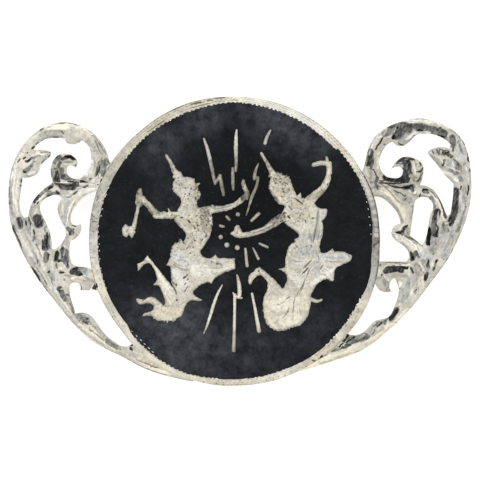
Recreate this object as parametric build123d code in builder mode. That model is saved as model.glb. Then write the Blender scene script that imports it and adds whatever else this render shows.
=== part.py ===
from build123d import *
from math import hypot
import os

os.makedirs("parts", exist_ok=True)

# Niello brooch, in millimetres.  +Z is up, out of the face, +X is to the viewer's
# right and +Y to the top.  The origin is the middle of the footprint, on the
# surface that the brooch lies on with its face up.

# Disc
disc_diameter = 35.7
rim_width = 0.9
plate_thickness = 0.75      # silver left under the niello
niello_thickness = 0.45
rim_height = 0.15           # rim above the niello
figure_height = 0.1         # dancers, bolts and sparks above the niello
rim_chamfer = 0.12

# Pierced wings, from the edge of the disc to their furthest point
left_wing_reach = 11.0
right_wing_reach = 12.9
wing_thickness = 1.0
scroll_height = 0.45        # raised scrolls above the wing plate

# Pin finding on the back
finding_height = 3.0        # from the back of the brooch to the feet
finding_line = 0.8          # above the middle of the disc
finding_base_thickness = 0.5
finding_width = 4.6
post_spacing = 29.0
post_length = 2.4
pin_diameter = 0.9
pin_clearance = 1.4         # room for cloth between the base and the pin
post_fillet = 0.3

# Sizes that follow
disc_radius = disc_diameter / 2
field_radius = disc_radius - rim_width
back_z = finding_height
recess_z = back_z + plate_thickness
niello_z = recess_z + niello_thickness
rim_z = niello_z + rim_height
figure_z = niello_z + figure_height
wing_z = back_z + wing_thickness
base_z = back_z - finding_base_thickness
pin_z = base_z - pin_clearance - pin_diameter / 2

# A row of an outline is x, y and whether the line turns sharply there.
sharp = True
soft = False

# Outer edge of each wing, as shares of the disc radius.  Its two ends lie
# inside the disc, and the disc closes it.
left_wing_edge = [
    (-0.80, 0.50, sharp), (-0.865, 0.55, sharp), (-0.90, 0.655, soft),
    (-1.00, 0.765, soft), (-1.13, 0.82, soft), (-1.27, 0.81, soft),
    (-1.40, 0.735, soft), (-1.50, 0.61, soft), (-1.55, 0.48, soft),
    (-1.565, 0.30, soft), (-1.55, 0.13, soft), (-1.50, -0.01, soft),
    (-1.40, -0.20, soft), (-1.25, -0.405, soft), (-1.10, -0.585, soft),
    (-0.95, -0.715, soft), (-0.80, -0.785, soft), (-0.65, -0.865, soft),
    (-0.50, -0.92, soft), (-0.25, -0.975, sharp), (-0.20, -0.85, sharp),
]
right_wing_edge = [
    (0.80, 0.45, sharp), (0.885, 0.485, sharp), (0.902, 0.55, soft),
    (0.95, 0.70, soft), (1.05, 0.785, soft), (1.15, 0.825, soft),
    (1.28, 0.845, soft), (1.40, 0.815, soft), (1.50, 0.765, soft),
    (1.57, 0.69, soft), (1.61, 0.57, soft), (1.628, 0.40, soft),
    (1.615, 0.24, soft), (1.55, 0.04, soft), (1.46, -0.135, soft),
    (1.34, -0.30, soft), (1.20, -0.48, soft), (1.05, -0.63, soft),
    (0.90, -0.74, soft), (0.70, -0.82, soft), (0.50, -0.885, soft),
    (0.35, -0.94, sharp), (0.30, -0.85, sharp),
]

# Gaps sawn through the left wing, as shares of the disc radius.
left_upper_gap = [
    (-1.455, 0.163, sharp), (-1.485, 0.22, soft), (-1.487, 0.30, soft),
    (-1.468, 0.44, sharp), (-1.41, 0.445, soft), (-1.36, 0.475, soft),
    (-1.33, 0.54, soft), (-1.275, 0.59, soft), (-1.27, 0.618, sharp),
    (-1.32, 0.632, soft), (-1.395, 0.628, sharp), (-1.34, 0.69, soft),
    (-1.25, 0.716, soft), (-1.175, 0.71, sharp), (-1.155, 0.678, soft),
    (-1.12, 0.67, soft), (-1.055, 0.695, sharp), (-1.005, 0.65, soft),
    (-0.989, 0.57, soft), (-1.02, 0.475, soft), (-1.095, 0.43, soft),
    (-1.155, 0.465, soft), (-1.155, 0.515, soft), (-1.10, 0.51, sharp),
    (-1.085, 0.545, soft), (-1.13, 0.597, soft), (-1.21, 0.60, soft),
    (-1.255, 0.555, soft), (-1.27, 0.48, soft), (-1.255, 0.405, sharp),
    (-1.32, 0.36, soft), (-1.385, 0.29, soft), (-1.425, 0.17, sharp),
]
left_middle_gap = [
    (-1.335, 0.19, soft), (-1.345, 0.25, soft), (-1.30, 0.30, soft),
    (-1.21, 0.315, soft), (-1.19, 0.295, sharp), (-1.21, 0.17, soft),
    (-1.165, 0.04, soft), (-1.20, -0.02, soft), (-1.245, -0.055, soft),
    (-1.265, -0.05, sharp), (-1.268, 0.02, soft), (-1.30, 0.12, soft),
]
left_rim_gap = [
    (-0.955, 0.345, sharp), (-1.03, 0.315, soft), (-1.09, 0.255, soft),
    (-1.132, 0.16, soft), (-1.12, 0.115, sharp), (-1.09, 0.11, soft),
    (-1.063, 0.12, sharp), (-1.062, 0.07, soft), (-1.085, 0.03, soft),
    (-1.13, 0.005, sharp), (-1.14, -0.09, soft), (-1.11, -0.165, soft),
    (-1.03, -0.18, soft), (-0.97, -0.215, sharp), (-0.94, 0.00, soft),
]
left_lower_gap = [
    (-1.14, -0.34, soft), (-1.13, -0.295, soft), (-1.09, -0.285, soft),
    (-1.063, -0.338, sharp), (-1.00, -0.34, sharp), (-0.975, -0.29, sharp),
    (-0.92, -0.32, sharp), (-0.80, -0.54, soft), (-0.69, -0.69, sharp),
    (-0.76, -0.728, soft), (-0.83, -0.695, soft), (-0.92, -0.61, soft),
    (-0.98, -0.525, soft), (-1.10, -0.50, sharp), (-1.12, -0.43, soft),
]

# Gaps sawn through the right wing, as shares of the disc radius.
right_upper_gap = [
    (1.46, 0.175, sharp), (1.43, 0.25, soft), (1.37, 0.35, soft),
    (1.275, 0.385, sharp), (1.30, 0.47, soft), (1.29, 0.535, soft),
    (1.235, 0.572, soft), (1.16, 0.58, soft), (1.115, 0.548, soft),
    (1.086, 0.511, sharp), (1.094, 0.50, sharp), (1.125, 0.515, soft),
    (1.155, 0.50, soft), (1.15, 0.45, soft), (1.10, 0.434, soft),
    (1.035, 0.455, sharp), (1.00, 0.52, soft), (1.015, 0.61, soft),
    (1.06, 0.67, soft), (1.09, 0.685, sharp), (1.155, 0.655, soft),
    (1.20, 0.68, soft), (1.25, 0.73, soft), (1.34, 0.74, soft),
    (1.43, 0.71, soft), (1.487, 0.665, sharp), (1.475, 0.63, sharp),
    (1.39, 0.645, soft), (1.333, 0.612, soft), (1.375, 0.55, soft),
    (1.42, 0.49, soft), (1.507, 0.395, sharp), (1.50, 0.28, soft),
    (1.485, 0.185, sharp),
]
right_middle_gap = [
    (1.24, 0.27, sharp), (1.30, 0.305, soft), (1.335, 0.295, soft),
    (1.365, 0.215, sharp), (1.34, 0.14, soft), (1.318, 0.02, soft),
    (1.29, -0.03, sharp), (1.24, 0.015, soft), (1.208, 0.04, sharp),
    (1.22, 0.12, soft),
]
right_rim_gap = [
    (0.94, 0.30, sharp), (1.01, 0.303, soft), (1.07, 0.26, soft),
    (1.13, 0.18, soft), (1.145, 0.12, sharp), (1.095, 0.092, soft),
    (1.083, 0.05, soft), (1.12, 0.00, soft), (1.18, -0.045, soft),
    (1.203, -0.09, soft), (1.185, -0.14, sharp), (0.97, -0.14, sharp),
]
right_lower_gap = [
    (0.93, -0.31, sharp), (0.975, -0.295, sharp), (1.00, -0.335, soft),
    (1.085, -0.345, sharp), (1.07, -0.29, soft), (1.095, -0.255, soft),
    (1.13, -0.31, soft), (1.11, -0.43, soft), (1.055, -0.525, soft),
    (0.97, -0.55, soft), (0.91, -0.61, soft), (0.85, -0.645, soft),
    (0.76, -0.625, sharp), (0.86, -0.45, soft),
]

# Raised scrolls on the wings: x, y and width, as shares of the disc radius.
left_scrolls = [
    [(-0.90, 0.43, 0.04), (-0.925, 0.53, 0.05), (-0.95, 0.63, 0.05), (-1.02, 0.72, 0.06),
     (-1.15, 0.765, 0.06), (-1.30, 0.755, 0.05), (-1.40, 0.675, 0.05),
     (-1.49, 0.53, 0.045), (-1.525, 0.36, 0.04), (-1.515, 0.15, 0.05),
     (-1.462, 0.00, 0.05), (-1.362, -0.16, 0.05), (-1.225, -0.36, 0.05),
     (-1.105, -0.537, 0.04), (-0.955, -0.64, 0.05), (-0.80, -0.75, 0.035),
     (-0.62, -0.825, 0.04)],
    [(-1.49, 0.50, 0.05), (-1.40, 0.54, 0.07), (-1.31, 0.595, 0.03)],
    [(-0.92, 0.385, 0.04), (-1.10, 0.40, 0.03), (-1.20, 0.43, 0.05),
     (-1.235, 0.50, 0.05), (-1.20, 0.565, 0.03), (-1.12, 0.565, 0.03)],
    [(-0.935, 0.35, 0.04), (-1.07, 0.34, 0.04), (-1.155, 0.25, 0.05),
     (-1.17, 0.14, 0.05), (-1.155, 0.02, 0.03), (-1.19, -0.12, 0.04),
     (-1.20, -0.28, 0.05), (-1.17, -0.40, 0.04)],
    [(-1.22, 0.35, 0.04), (-1.31, 0.33, 0.03), (-1.375, 0.24, 0.04),
     (-1.37, 0.12, 0.05), (-1.32, -0.02, 0.05), (-1.30, -0.16, 0.05),
     (-1.24, -0.32, 0.04)],
    [(-1.19, -0.22, 0.04), (-1.10, -0.215, 0.04), (-0.96, -0.25, 0.04)],
]
right_scrolls = [
    [(0.89, 0.43, 0.03), (0.93, 0.51, 0.04), (0.94, 0.61, 0.04), (0.99, 0.70, 0.04),
     (1.10, 0.755, 0.05), (1.25, 0.79, 0.05), (1.42, 0.765, 0.05),
     (1.54, 0.67, 0.05), (1.57, 0.50, 0.06), (1.57, 0.33, 0.06),
     (1.54, 0.16, 0.06), (1.48, 0.00, 0.05), (1.38, -0.18, 0.05),
     (1.24, -0.37, 0.05), (1.085, -0.55, 0.04), (0.95, -0.66, 0.04),
     (0.78, -0.75, 0.04), (0.60, -0.82, 0.03)],
    [(1.52, 0.50, 0.05), (1.44, 0.55, 0.06), (1.38, 0.60, 0.04)],
    [(0.92, 0.385, 0.03), (1.08, 0.405, 0.04), (1.20, 0.44, 0.05),
     (1.235, 0.50, 0.05), (1.20, 0.55, 0.04), (1.14, 0.545, 0.02)],
    [(0.935, 0.345, 0.04), (1.07, 0.325, 0.05), (1.16, 0.22, 0.05),
     (1.19, 0.12, 0.04), (1.16, 0.04, 0.05), (1.22, -0.03, 0.05),
     (1.25, -0.12, 0.05), (1.19, -0.30, 0.05), (1.15, -0.44, 0.04)],
    [(1.24, 0.34, 0.04), (1.34, 0.33, 0.04), (1.405, 0.23, 0.05),
     (1.40, 0.10, 0.05), (1.35, -0.04, 0.05), (1.28, -0.20, 0.05)],
    [(1.18, -0.20, 0.05), (1.08, -0.20, 0.05), (0.965, -0.23, 0.04)],
]

# Left dancer, as shares of the radius of the niello field.
left_head = [
    (-0.447, 0.500, sharp), (-0.447, 0.462, sharp), (-0.433, 0.452, sharp),
    (-0.447, 0.425, soft), (-0.446, 0.375, soft), (-0.405, 0.328, soft),
    (-0.386, 0.295, soft), (-0.397, 0.250, soft), (-0.440, 0.213, sharp),
    (-0.330, 0.170, sharp), (-0.180, 0.235, sharp), (-0.255, 0.240, sharp),
    (-0.273, 0.265, soft), (-0.268, 0.298, soft), (-0.247, 0.320, soft),
    (-0.256, 0.375, soft), (-0.250, 0.422, sharp), (-0.283, 0.425, soft),
    (-0.291, 0.455, sharp), (-0.370, 0.470, sharp), (-0.392, 0.502, sharp),
    (-0.420, 0.515, sharp),
]
left_torso = [
    (-0.440, 0.215, sharp), (-0.440, 0.165, sharp), (-0.395, 0.105, soft),
    (-0.352, 0.045, soft), (-0.374, -0.005, sharp), (-0.330, -0.080, sharp),
    (-0.240, -0.060, sharp), (-0.190, 0.015, soft), (-0.162, 0.105, soft),
    (-0.172, 0.225, sharp),
]
left_skirt = [
    (-0.360, 0.010, sharp), (-0.376, -0.005, sharp), (-0.395, 0.017, sharp),
    (-0.410, -0.008, sharp), (-0.447, -0.035, soft), (-0.472, -0.125, soft),
    (-0.497, -0.175, sharp), (-0.463, -0.185, sharp), (-0.455, -0.320, sharp),
    (-0.380, -0.400, sharp), (-0.300, -0.367, sharp), (-0.250, -0.320, soft),
    (-0.200, -0.298, sharp), (-0.165, -0.308, sharp), (-0.140, -0.270, soft),
    (-0.075, -0.228, soft), (0.006, -0.197, sharp), (0.003, -0.127, sharp),
    (-0.115, -0.122, sharp), (-0.140, -0.098, sharp), (-0.190, -0.123, soft),
    (-0.235, -0.105, soft), (-0.242, -0.058, sharp),
]
left_robe = [
    (-0.300, -0.367, sharp), (-0.288, -0.395, soft), (-0.262, -0.411, soft),
    (-0.234, -0.427, sharp), (-0.270, -0.432, soft), (-0.310, -0.429, soft),
    (-0.352, -0.465, soft), (-0.385, -0.540, soft),
    (-0.455, -0.583, soft), (-0.540, -0.580, soft), (-0.625, -0.540, sharp),
    (-0.669, -0.545, sharp), (-0.630, -0.514, soft), (-0.592, -0.500, soft),
    (-0.588, -0.466, soft), (-0.640, -0.450, soft), (-0.700, -0.453, soft),
    (-0.713, -0.420, soft), (-0.665, -0.422, soft), (-0.610, -0.403, soft),
    (-0.565, -0.422, soft), (-0.515, -0.465, sharp), (-0.499, -0.440, sharp),
    (-0.455, -0.320, sharp),
]
left_leg = [
    (-0.499, -0.445, sharp), (-0.520, -0.380, soft), (-0.550, -0.322, sharp),
    (-0.590, -0.318, sharp), (-0.562, -0.280, sharp), (-0.580, -0.210, soft),
    (-0.625, -0.156, soft), (-0.672, -0.185, soft), (-0.700, -0.225, sharp),
    (-0.706, -0.165, sharp), (-0.660, -0.138, soft), (-0.630, -0.104, sharp),
    (-0.555, -0.200, soft), (-0.455, -0.325, sharp), (-0.400, -0.450, sharp),
]
axe_head = [
    (-0.745, 0.110, sharp), (-0.765, 0.108, sharp), (-0.789, 0.127, sharp),
    (-0.810, 0.100, soft), (-0.808, 0.045, sharp), (-0.787, 0.030, sharp),
    (-0.768, 0.052, sharp), (-0.745, 0.020, sharp), (-0.716, 0.068, sharp),
]
left_limbs = [
    [(-0.495, 0.622, 0.018), (-0.465, 0.572, 0.026), (-0.425, 0.490, 0.045)],
    [(-0.400, 0.190, 0.050), (-0.570, 0.190, 0.050)],
    [(-0.565, 0.190, 0.052), (-0.625, 0.262, 0.045), (-0.670, 0.305, 0.050)],
    [(-0.692, 0.270, 0.050), (-0.690, 0.330, 0.050), (-0.684, 0.372, 0.030)],
    [(-0.465, 0.205, 0.030), (-0.478, 0.235, 0.012)],
    [(-0.695, 0.270, 0.026), (-0.735, 0.080, 0.028)],
    [(-0.250, 0.205, 0.070), (-0.150, 0.231, 0.054), (-0.050, 0.244, 0.038),
     (0.030, 0.283, 0.038), (0.085, 0.335, 0.042)],
    [(-0.165, 0.225, 0.050), (-0.160, 0.255, 0.020)],
    [(0.085, 0.320, 0.040), (0.088, 0.362, 0.036), (0.068, 0.402, 0.030),
     (0.065, 0.437, 0.020)],
]

# Right dancer, as shares of the radius of the niello field.
right_head = [
    (0.255, 0.500, sharp), (0.248, 0.467, sharp), (0.266, 0.455, sharp),
    (0.250, 0.395, soft), (0.285, 0.315, soft), (0.320, 0.273, sharp),
    (0.368, 0.255, sharp), (0.345, 0.205, sharp), (0.480, 0.200, sharp),
    (0.520, 0.300, sharp), (0.488, 0.318, sharp), (0.480, 0.353, sharp),
    (0.455, 0.330, sharp), (0.430, 0.380, soft), (0.402, 0.465, sharp),
    (0.350, 0.490, sharp), (0.310, 0.505, soft), (0.280, 0.512, sharp),
]
right_torso = [
    (0.345, 0.210, sharp), (0.350, 0.143, sharp), (0.405, 0.100, soft),
    (0.472, 0.050, sharp), (0.470, 0.030, sharp), (0.480, -0.060, sharp),
    (0.618, -0.055, sharp), (0.630, 0.020, soft), (0.646, 0.085, soft),
    (0.637, 0.145, sharp), (0.668, 0.190, soft), (0.668, 0.240, sharp),
    (0.600, 0.252, soft), (0.577, 0.300, sharp), (0.500, 0.303, sharp),
]
right_skirt = [
    (0.475, 0.030, sharp), (0.435, 0.013, sharp), (0.438, -0.002, sharp),
    (0.390, -0.055, soft), (0.370, -0.140, soft), (0.368, -0.190, sharp),
    (0.315, -0.202, sharp), (0.368, -0.228, sharp), (0.382, -0.280, soft),
    (0.350, -0.345, sharp), (0.400, -0.450, sharp), (0.555, -0.395, sharp),
    (0.590, -0.325, soft), (0.660, -0.278, soft), (0.710, -0.294, sharp),
    (0.723, -0.280, sharp), (0.725, -0.220, sharp), (0.785, -0.168, soft),
    (0.845, -0.135, soft), (0.853, -0.105, sharp), (0.800, -0.080, soft),
    (0.728, -0.075, sharp), (0.710, -0.055, sharp), (0.680, -0.077, soft),
    (0.640, -0.085, soft), (0.617, -0.055, sharp), (0.600, 0.020, sharp),
]
right_robe = [
    (0.350, -0.345, sharp), (0.290, -0.280, soft), (0.205, -0.205, soft),
    (0.180, -0.185, sharp), (0.150, -0.208, soft), (0.100, -0.255, sharp),
    (0.104, -0.312, sharp), (0.120, -0.312, sharp), (0.150, -0.265, soft),
    (0.185, -0.247, soft), (0.232, -0.285, soft), (0.242, -0.335, soft),
    (0.212, -0.410, soft), (0.206, -0.490, soft), (0.230, -0.585, soft),
    (0.280, -0.640, soft), (0.350, -0.650, soft), (0.430, -0.622, sharp),
    (0.490, -0.600, soft), (0.540, -0.520, soft), (0.558, -0.438, sharp),
    (0.600, -0.447, soft), (0.643, -0.428, sharp), (0.635, -0.414, sharp),
    (0.600, -0.424, soft), (0.555, -0.395, sharp),
]
right_hand = [
    (0.070, 0.063, sharp), (0.045, 0.075, sharp), (0.038, 0.105, soft),
    (0.020, 0.119, soft), (0.000, 0.100, soft), (-0.005, 0.080, sharp),
    (-0.033, 0.053, sharp), (0.010, 0.030, soft), (0.080, 0.027, sharp),
]
right_limbs = [
    [(0.195, 0.640, 0.014), (0.235, 0.572, 0.025), (0.280, 0.490, 0.045)],
    [(0.400, 0.180, 0.080), (0.350, 0.173, 0.062), (0.280, 0.128, 0.058),
     (0.200, 0.079, 0.040), (0.120, 0.054, 0.040), (0.060, 0.045, 0.036)],
    [(0.530, 0.270, 0.090), (0.590, 0.335, 0.060), (0.650, 0.395, 0.050),
     (0.680, 0.460, 0.042), (0.688, 0.520, 0.040), (0.682, 0.560, 0.045)],
    [(0.690, 0.563, 0.036), (0.620, 0.566, 0.034), (0.575, 0.556, 0.026)],
    [(0.678, 0.560, 0.030), (0.671, 0.610, 0.018)],
]

# Bolts and sparks between the dancers: x, y and width, same shares.
bolts = [
    [(-0.222, 0.745, 0.014), (-0.205, 0.700, 0.022), (-0.170, 0.560, 0.028),
     (-0.140, 0.420, 0.022)],
    [(-0.142, 0.415, 0.016), (-0.105, 0.475, 0.026)],
    [(-0.106, 0.480, 0.020), (-0.095, 0.420, 0.028), (-0.079, 0.335, 0.020)],
    [(0.017, 0.808, 0.014), (0.012, 0.750, 0.026), (0.012, 0.600, 0.026),
     (0.010, 0.510, 0.020)],
    [(-0.012, 0.530, 0.020), (-0.012, 0.450, 0.026), (-0.008, 0.376, 0.020)],
    [(0.262, 0.805, 0.014), (0.245, 0.775, 0.022), (0.222, 0.712, 0.026)],
    [(0.174, 0.562, 0.012), (0.153, 0.510, 0.022), (0.145, 0.455, 0.026)],
    [(0.145, 0.458, 0.012), (0.176, 0.462, 0.012)],
    [(0.168, 0.462, 0.022), (0.162, 0.405, 0.022), (0.130, 0.330, 0.024),
     (0.105, 0.250, 0.016), (0.086, 0.190, 0.010)],
    [(-0.088, -0.318, 0.010), (-0.125, -0.390, 0.020), (-0.175, -0.540, 0.022),
     (-0.223, -0.670, 0.010)],
    [(0.019, -0.245, 0.014), (0.032, -0.300, 0.026), (0.036, -0.390, 0.030)],
    [(0.054, -0.412, 0.012), (0.000, -0.390, 0.020), (-0.010, -0.372, 0.010)],
    [(0.002, -0.390, 0.024), (0.000, -0.600, 0.022), (-0.006, -0.792, 0.028)],
    [(0.128, -0.382, 0.018), (0.150, -0.490, 0.022), (0.178, -0.650, 0.032)],
    [(0.080, -0.056, 0.020), (0.092, -0.178, 0.024)],
    [(0.136, -0.050, 0.012), (0.173, -0.126, 0.022)],
    [(0.183, -0.017, 0.018), (0.240, -0.043, 0.020)],
    [(0.125, 0.150, 0.022), (0.176, 0.200, 0.026)],
    [(-0.056, 0.178, 0.022), (-0.037, 0.157, 0.022)],
    [(-0.103, 0.113, 0.020), (-0.080, 0.106, 0.022)],
]
sparks = [
    (0.025, 0.195, 0.032), (-0.099, 0.031, 0.034),
    (-0.055, -0.027, 0.038), (0.021, -0.046, 0.038),
]


def furthest_share(rows):
    """Largest distance from the middle of the disc in a wing's edge rows."""
    return max(hypot(x, y) for x, y, turn in rows)


def wing_place(reach, furthest):
    """Give the function that turns shares on a wing into millimetres.

    Inside the rim a point follows the disc alone.  Beyond it, the way out from
    the rim is scaled so that the furthest point stands the wing's reach out.
    """
    def place(x, y):
        share = hypot(x, y)
        if share <= 1:
            return (x * disc_radius, y * disc_radius)
        out = disc_radius + reach * (share - 1) / (furthest - 1)
        return (x / share * out, y / share * out)
    return place


def field_place(x, y):
    """Turn shares of the niello field's radius into millimetres."""
    return (x * field_radius, y * field_radius)


def add_outline(rows, place, mode=Mode.ADD):
    """Add a closed shape that runs straight or in a curve from corner to corner."""
    start = [turn for x, y, turn in rows].index(sharp)
    ring = rows[start:] + rows[:start]
    with BuildLine() as edge:
        run = [place(*ring[0][:2])]
        for x, y, turn in ring[1:] + ring[:1]:
            run.append(place(x, y))
            if turn:
                if len(run) == 2:
                    Line(*run)
                else:
                    Spline(*run)
                run = run[-1:]
    make_face(edge.edges(), mode=mode)


def add_band(rows, place, mode=Mode.ADD):
    """Add a band with round ends whose rows give its middle line and width."""
    left, right = [], []
    for i, (x, y, width) in enumerate(rows):
        before, after = rows[max(i - 1, 0)], rows[min(i + 1, len(rows) - 1)]
        along = (after[0] - before[0], after[1] - before[1])
        scale = width / 2 / hypot(*along)
        step = (along[0] * scale, along[1] * scale)
        left.append(place(x - step[1], y + step[0]))
        right.append(place(x + step[1], y - step[0]))
        if i == 0:
            start_tip = place(x - step[0], y - step[1])
    end_tip = place(x + step[0], y + step[1])
    with BuildLine() as edge:
        for side in (left, right):
            if len(side) == 2:
                Line(*side)
            else:
                Spline(*side)
        ThreePointArc(left[0], start_tip, right[0])
        ThreePointArc(left[-1], end_tip, right[-1])
    make_face(edge.edges(), mode=mode)


left_place = wing_place(left_wing_reach, furthest_share(left_wing_edge))
right_place = wing_place(right_wing_reach, furthest_share(right_wing_edge))
left_side = min(left_place(x, y)[0] for x, y, turn in left_wing_edge)
right_side = max(right_place(x, y)[0] for x, y, turn in right_wing_edge)
disc_x = -(left_side + right_side) / 2

wings = [
    (left_place, left_wing_edge, left_scrolls,
     [left_upper_gap, left_middle_gap, left_rim_gap, left_lower_gap]),
    (right_place, right_wing_edge, right_scrolls,
     [right_upper_gap, right_middle_gap, right_rim_gap, right_lower_gap]),
]


def disc_plane(z):
    """Plane at a height, with its origin in the middle of the disc."""
    return Plane((disc_x, 0, z))


with BuildSketch(disc_plane(recess_z)) as figures:
    for shape in (left_head, left_torso, left_skirt, left_robe, left_leg, axe_head,
                  right_head, right_torso, right_skirt, right_robe, right_hand):
        add_outline(shape, field_place)
    for band in left_limbs + right_limbs + bolts:
        add_band(band, field_place)
    for x, y, width in sparks:
        with Locations(field_place(x, y)):
            Circle(width / 2 * field_radius)

with BuildPart() as silver_body:
    with BuildSketch(disc_plane(back_z)):
        Circle(disc_radius)
    extrude(amount=rim_z - back_z)
    with BuildSketch(disc_plane(recess_z)):
        Circle(field_radius)
    extrude(amount=rim_z - recess_z, mode=Mode.SUBTRACT)
    rim_edges = silver_body.edges().filter_by(GeomType.CIRCLE).group_by(Axis.Z)[-1]
    chamfer(rim_edges, length=rim_chamfer)
    for place, edge_rows, scrolls, gaps in wings:
        with BuildSketch(disc_plane(back_z)):
            add_outline(edge_rows, place)
            for gap in gaps:
                add_outline(gap, place, Mode.SUBTRACT)
            Circle(field_radius, mode=Mode.SUBTRACT)
        extrude(amount=wing_thickness)
        with BuildSketch(disc_plane(wing_z)):
            for band in scrolls:
                add_band(band, place)
        extrude(amount=scroll_height)
    extrude(figures.sketch, amount=figure_z - recess_z)

with BuildPart() as niello_field:
    with BuildSketch(disc_plane(recess_z)):
        Circle(field_radius)
    extrude(amount=niello_thickness)
    extrude(figures.sketch, amount=niello_thickness, mode=Mode.SUBTRACT)

with BuildPart() as brooch_pin:
    with BuildSketch(disc_plane(base_z)):
        with Locations((0, finding_line)):
            Rectangle(post_spacing + post_length, finding_width)
    extrude(amount=finding_base_thickness)
    with BuildSketch(disc_plane(0)):
        with GridLocations(post_spacing, 0, 2, 1):
            with Locations((0, finding_line)):
                Rectangle(post_length, finding_width)
    extrude(amount=base_z)
    fillet(brooch_pin.edges().filter_by(Axis.Z), radius=post_fillet)
    with BuildSketch(Plane((disc_x, finding_line, pin_z), z_dir=(1, 0, 0))):
        Circle(pin_diameter / 2)
    extrude(amount=post_spacing / 2, both=True)

silver_body.part.label = "silver_body"
niello_field.part.label = "niello_field"
brooch_pin.part.label = "brooch_pin"
for piece in (silver_body.part, niello_field.part, brooch_pin.part):
    export_step(piece, f"parts/{piece.label}.step")
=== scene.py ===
"""Niello brooch: a round plaque with two dancers, held between pierced silver wings.

Lengths are in millimetres until a mesh is made.  A place on the face is a share of the
radius of the disc, or of the niello field, measured from the middle of the disc.
"""

import logging
from collections.abc import Callable, Iterable, Iterator, Sequence
from dataclasses import dataclass
from enum import Enum, IntEnum
from itertools import product
from math import cos, hypot, pi, radians, sin, sqrt

import bmesh
import bpy
import numpy as np
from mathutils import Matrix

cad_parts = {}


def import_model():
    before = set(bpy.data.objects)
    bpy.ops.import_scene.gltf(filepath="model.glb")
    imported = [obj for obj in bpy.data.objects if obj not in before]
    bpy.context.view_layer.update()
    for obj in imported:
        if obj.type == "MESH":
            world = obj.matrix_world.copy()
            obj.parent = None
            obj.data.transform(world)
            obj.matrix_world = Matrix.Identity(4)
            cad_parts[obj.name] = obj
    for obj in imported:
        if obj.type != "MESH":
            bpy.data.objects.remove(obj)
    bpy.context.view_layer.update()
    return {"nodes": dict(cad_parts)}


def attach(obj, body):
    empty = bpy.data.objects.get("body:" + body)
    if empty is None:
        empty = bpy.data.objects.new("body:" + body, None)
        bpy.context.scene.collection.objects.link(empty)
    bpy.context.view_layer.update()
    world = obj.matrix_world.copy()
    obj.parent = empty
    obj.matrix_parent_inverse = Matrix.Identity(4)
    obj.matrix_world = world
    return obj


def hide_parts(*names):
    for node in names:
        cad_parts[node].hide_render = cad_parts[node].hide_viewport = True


LOG = logging.getLogger("brooch")
MM = 0.001
BODY = "root"
# Darkness of the metal: real tarnish and patina, with painted shade and reflections added and
# painted highlights taken away.
TARNISH_AND_SHADE = "tarnish"  # 0 for bright metal to 1 for black
WARMTH = "warmth"  # 0 for grey silver to 1 for cream
WALL_TONE = 0.40  # tarnish of the sides and the back

Row = tuple[float, ...]
Number = float | np.ndarray
Part = tuple[slice, slice]
Colour = tuple[float, float, float]
Thing = bpy.types.Object
Socket = bpy.types.NodeSocket


def dots(tone: float, width: float, *places: float) -> list[Row]:
    """Rows of round dots of one tone and width, at pairs of x and y."""
    return [(tone, width, x, y) for x, y in zip(places[::2], places[1::2])]


# What a one stands for in the tables: in a warmth, in a tone or a rise, and in a width or
# a place.
TENTH, HUNDREDTH, THOUSANDTH = 0.1, 0.01, 0.001
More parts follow.
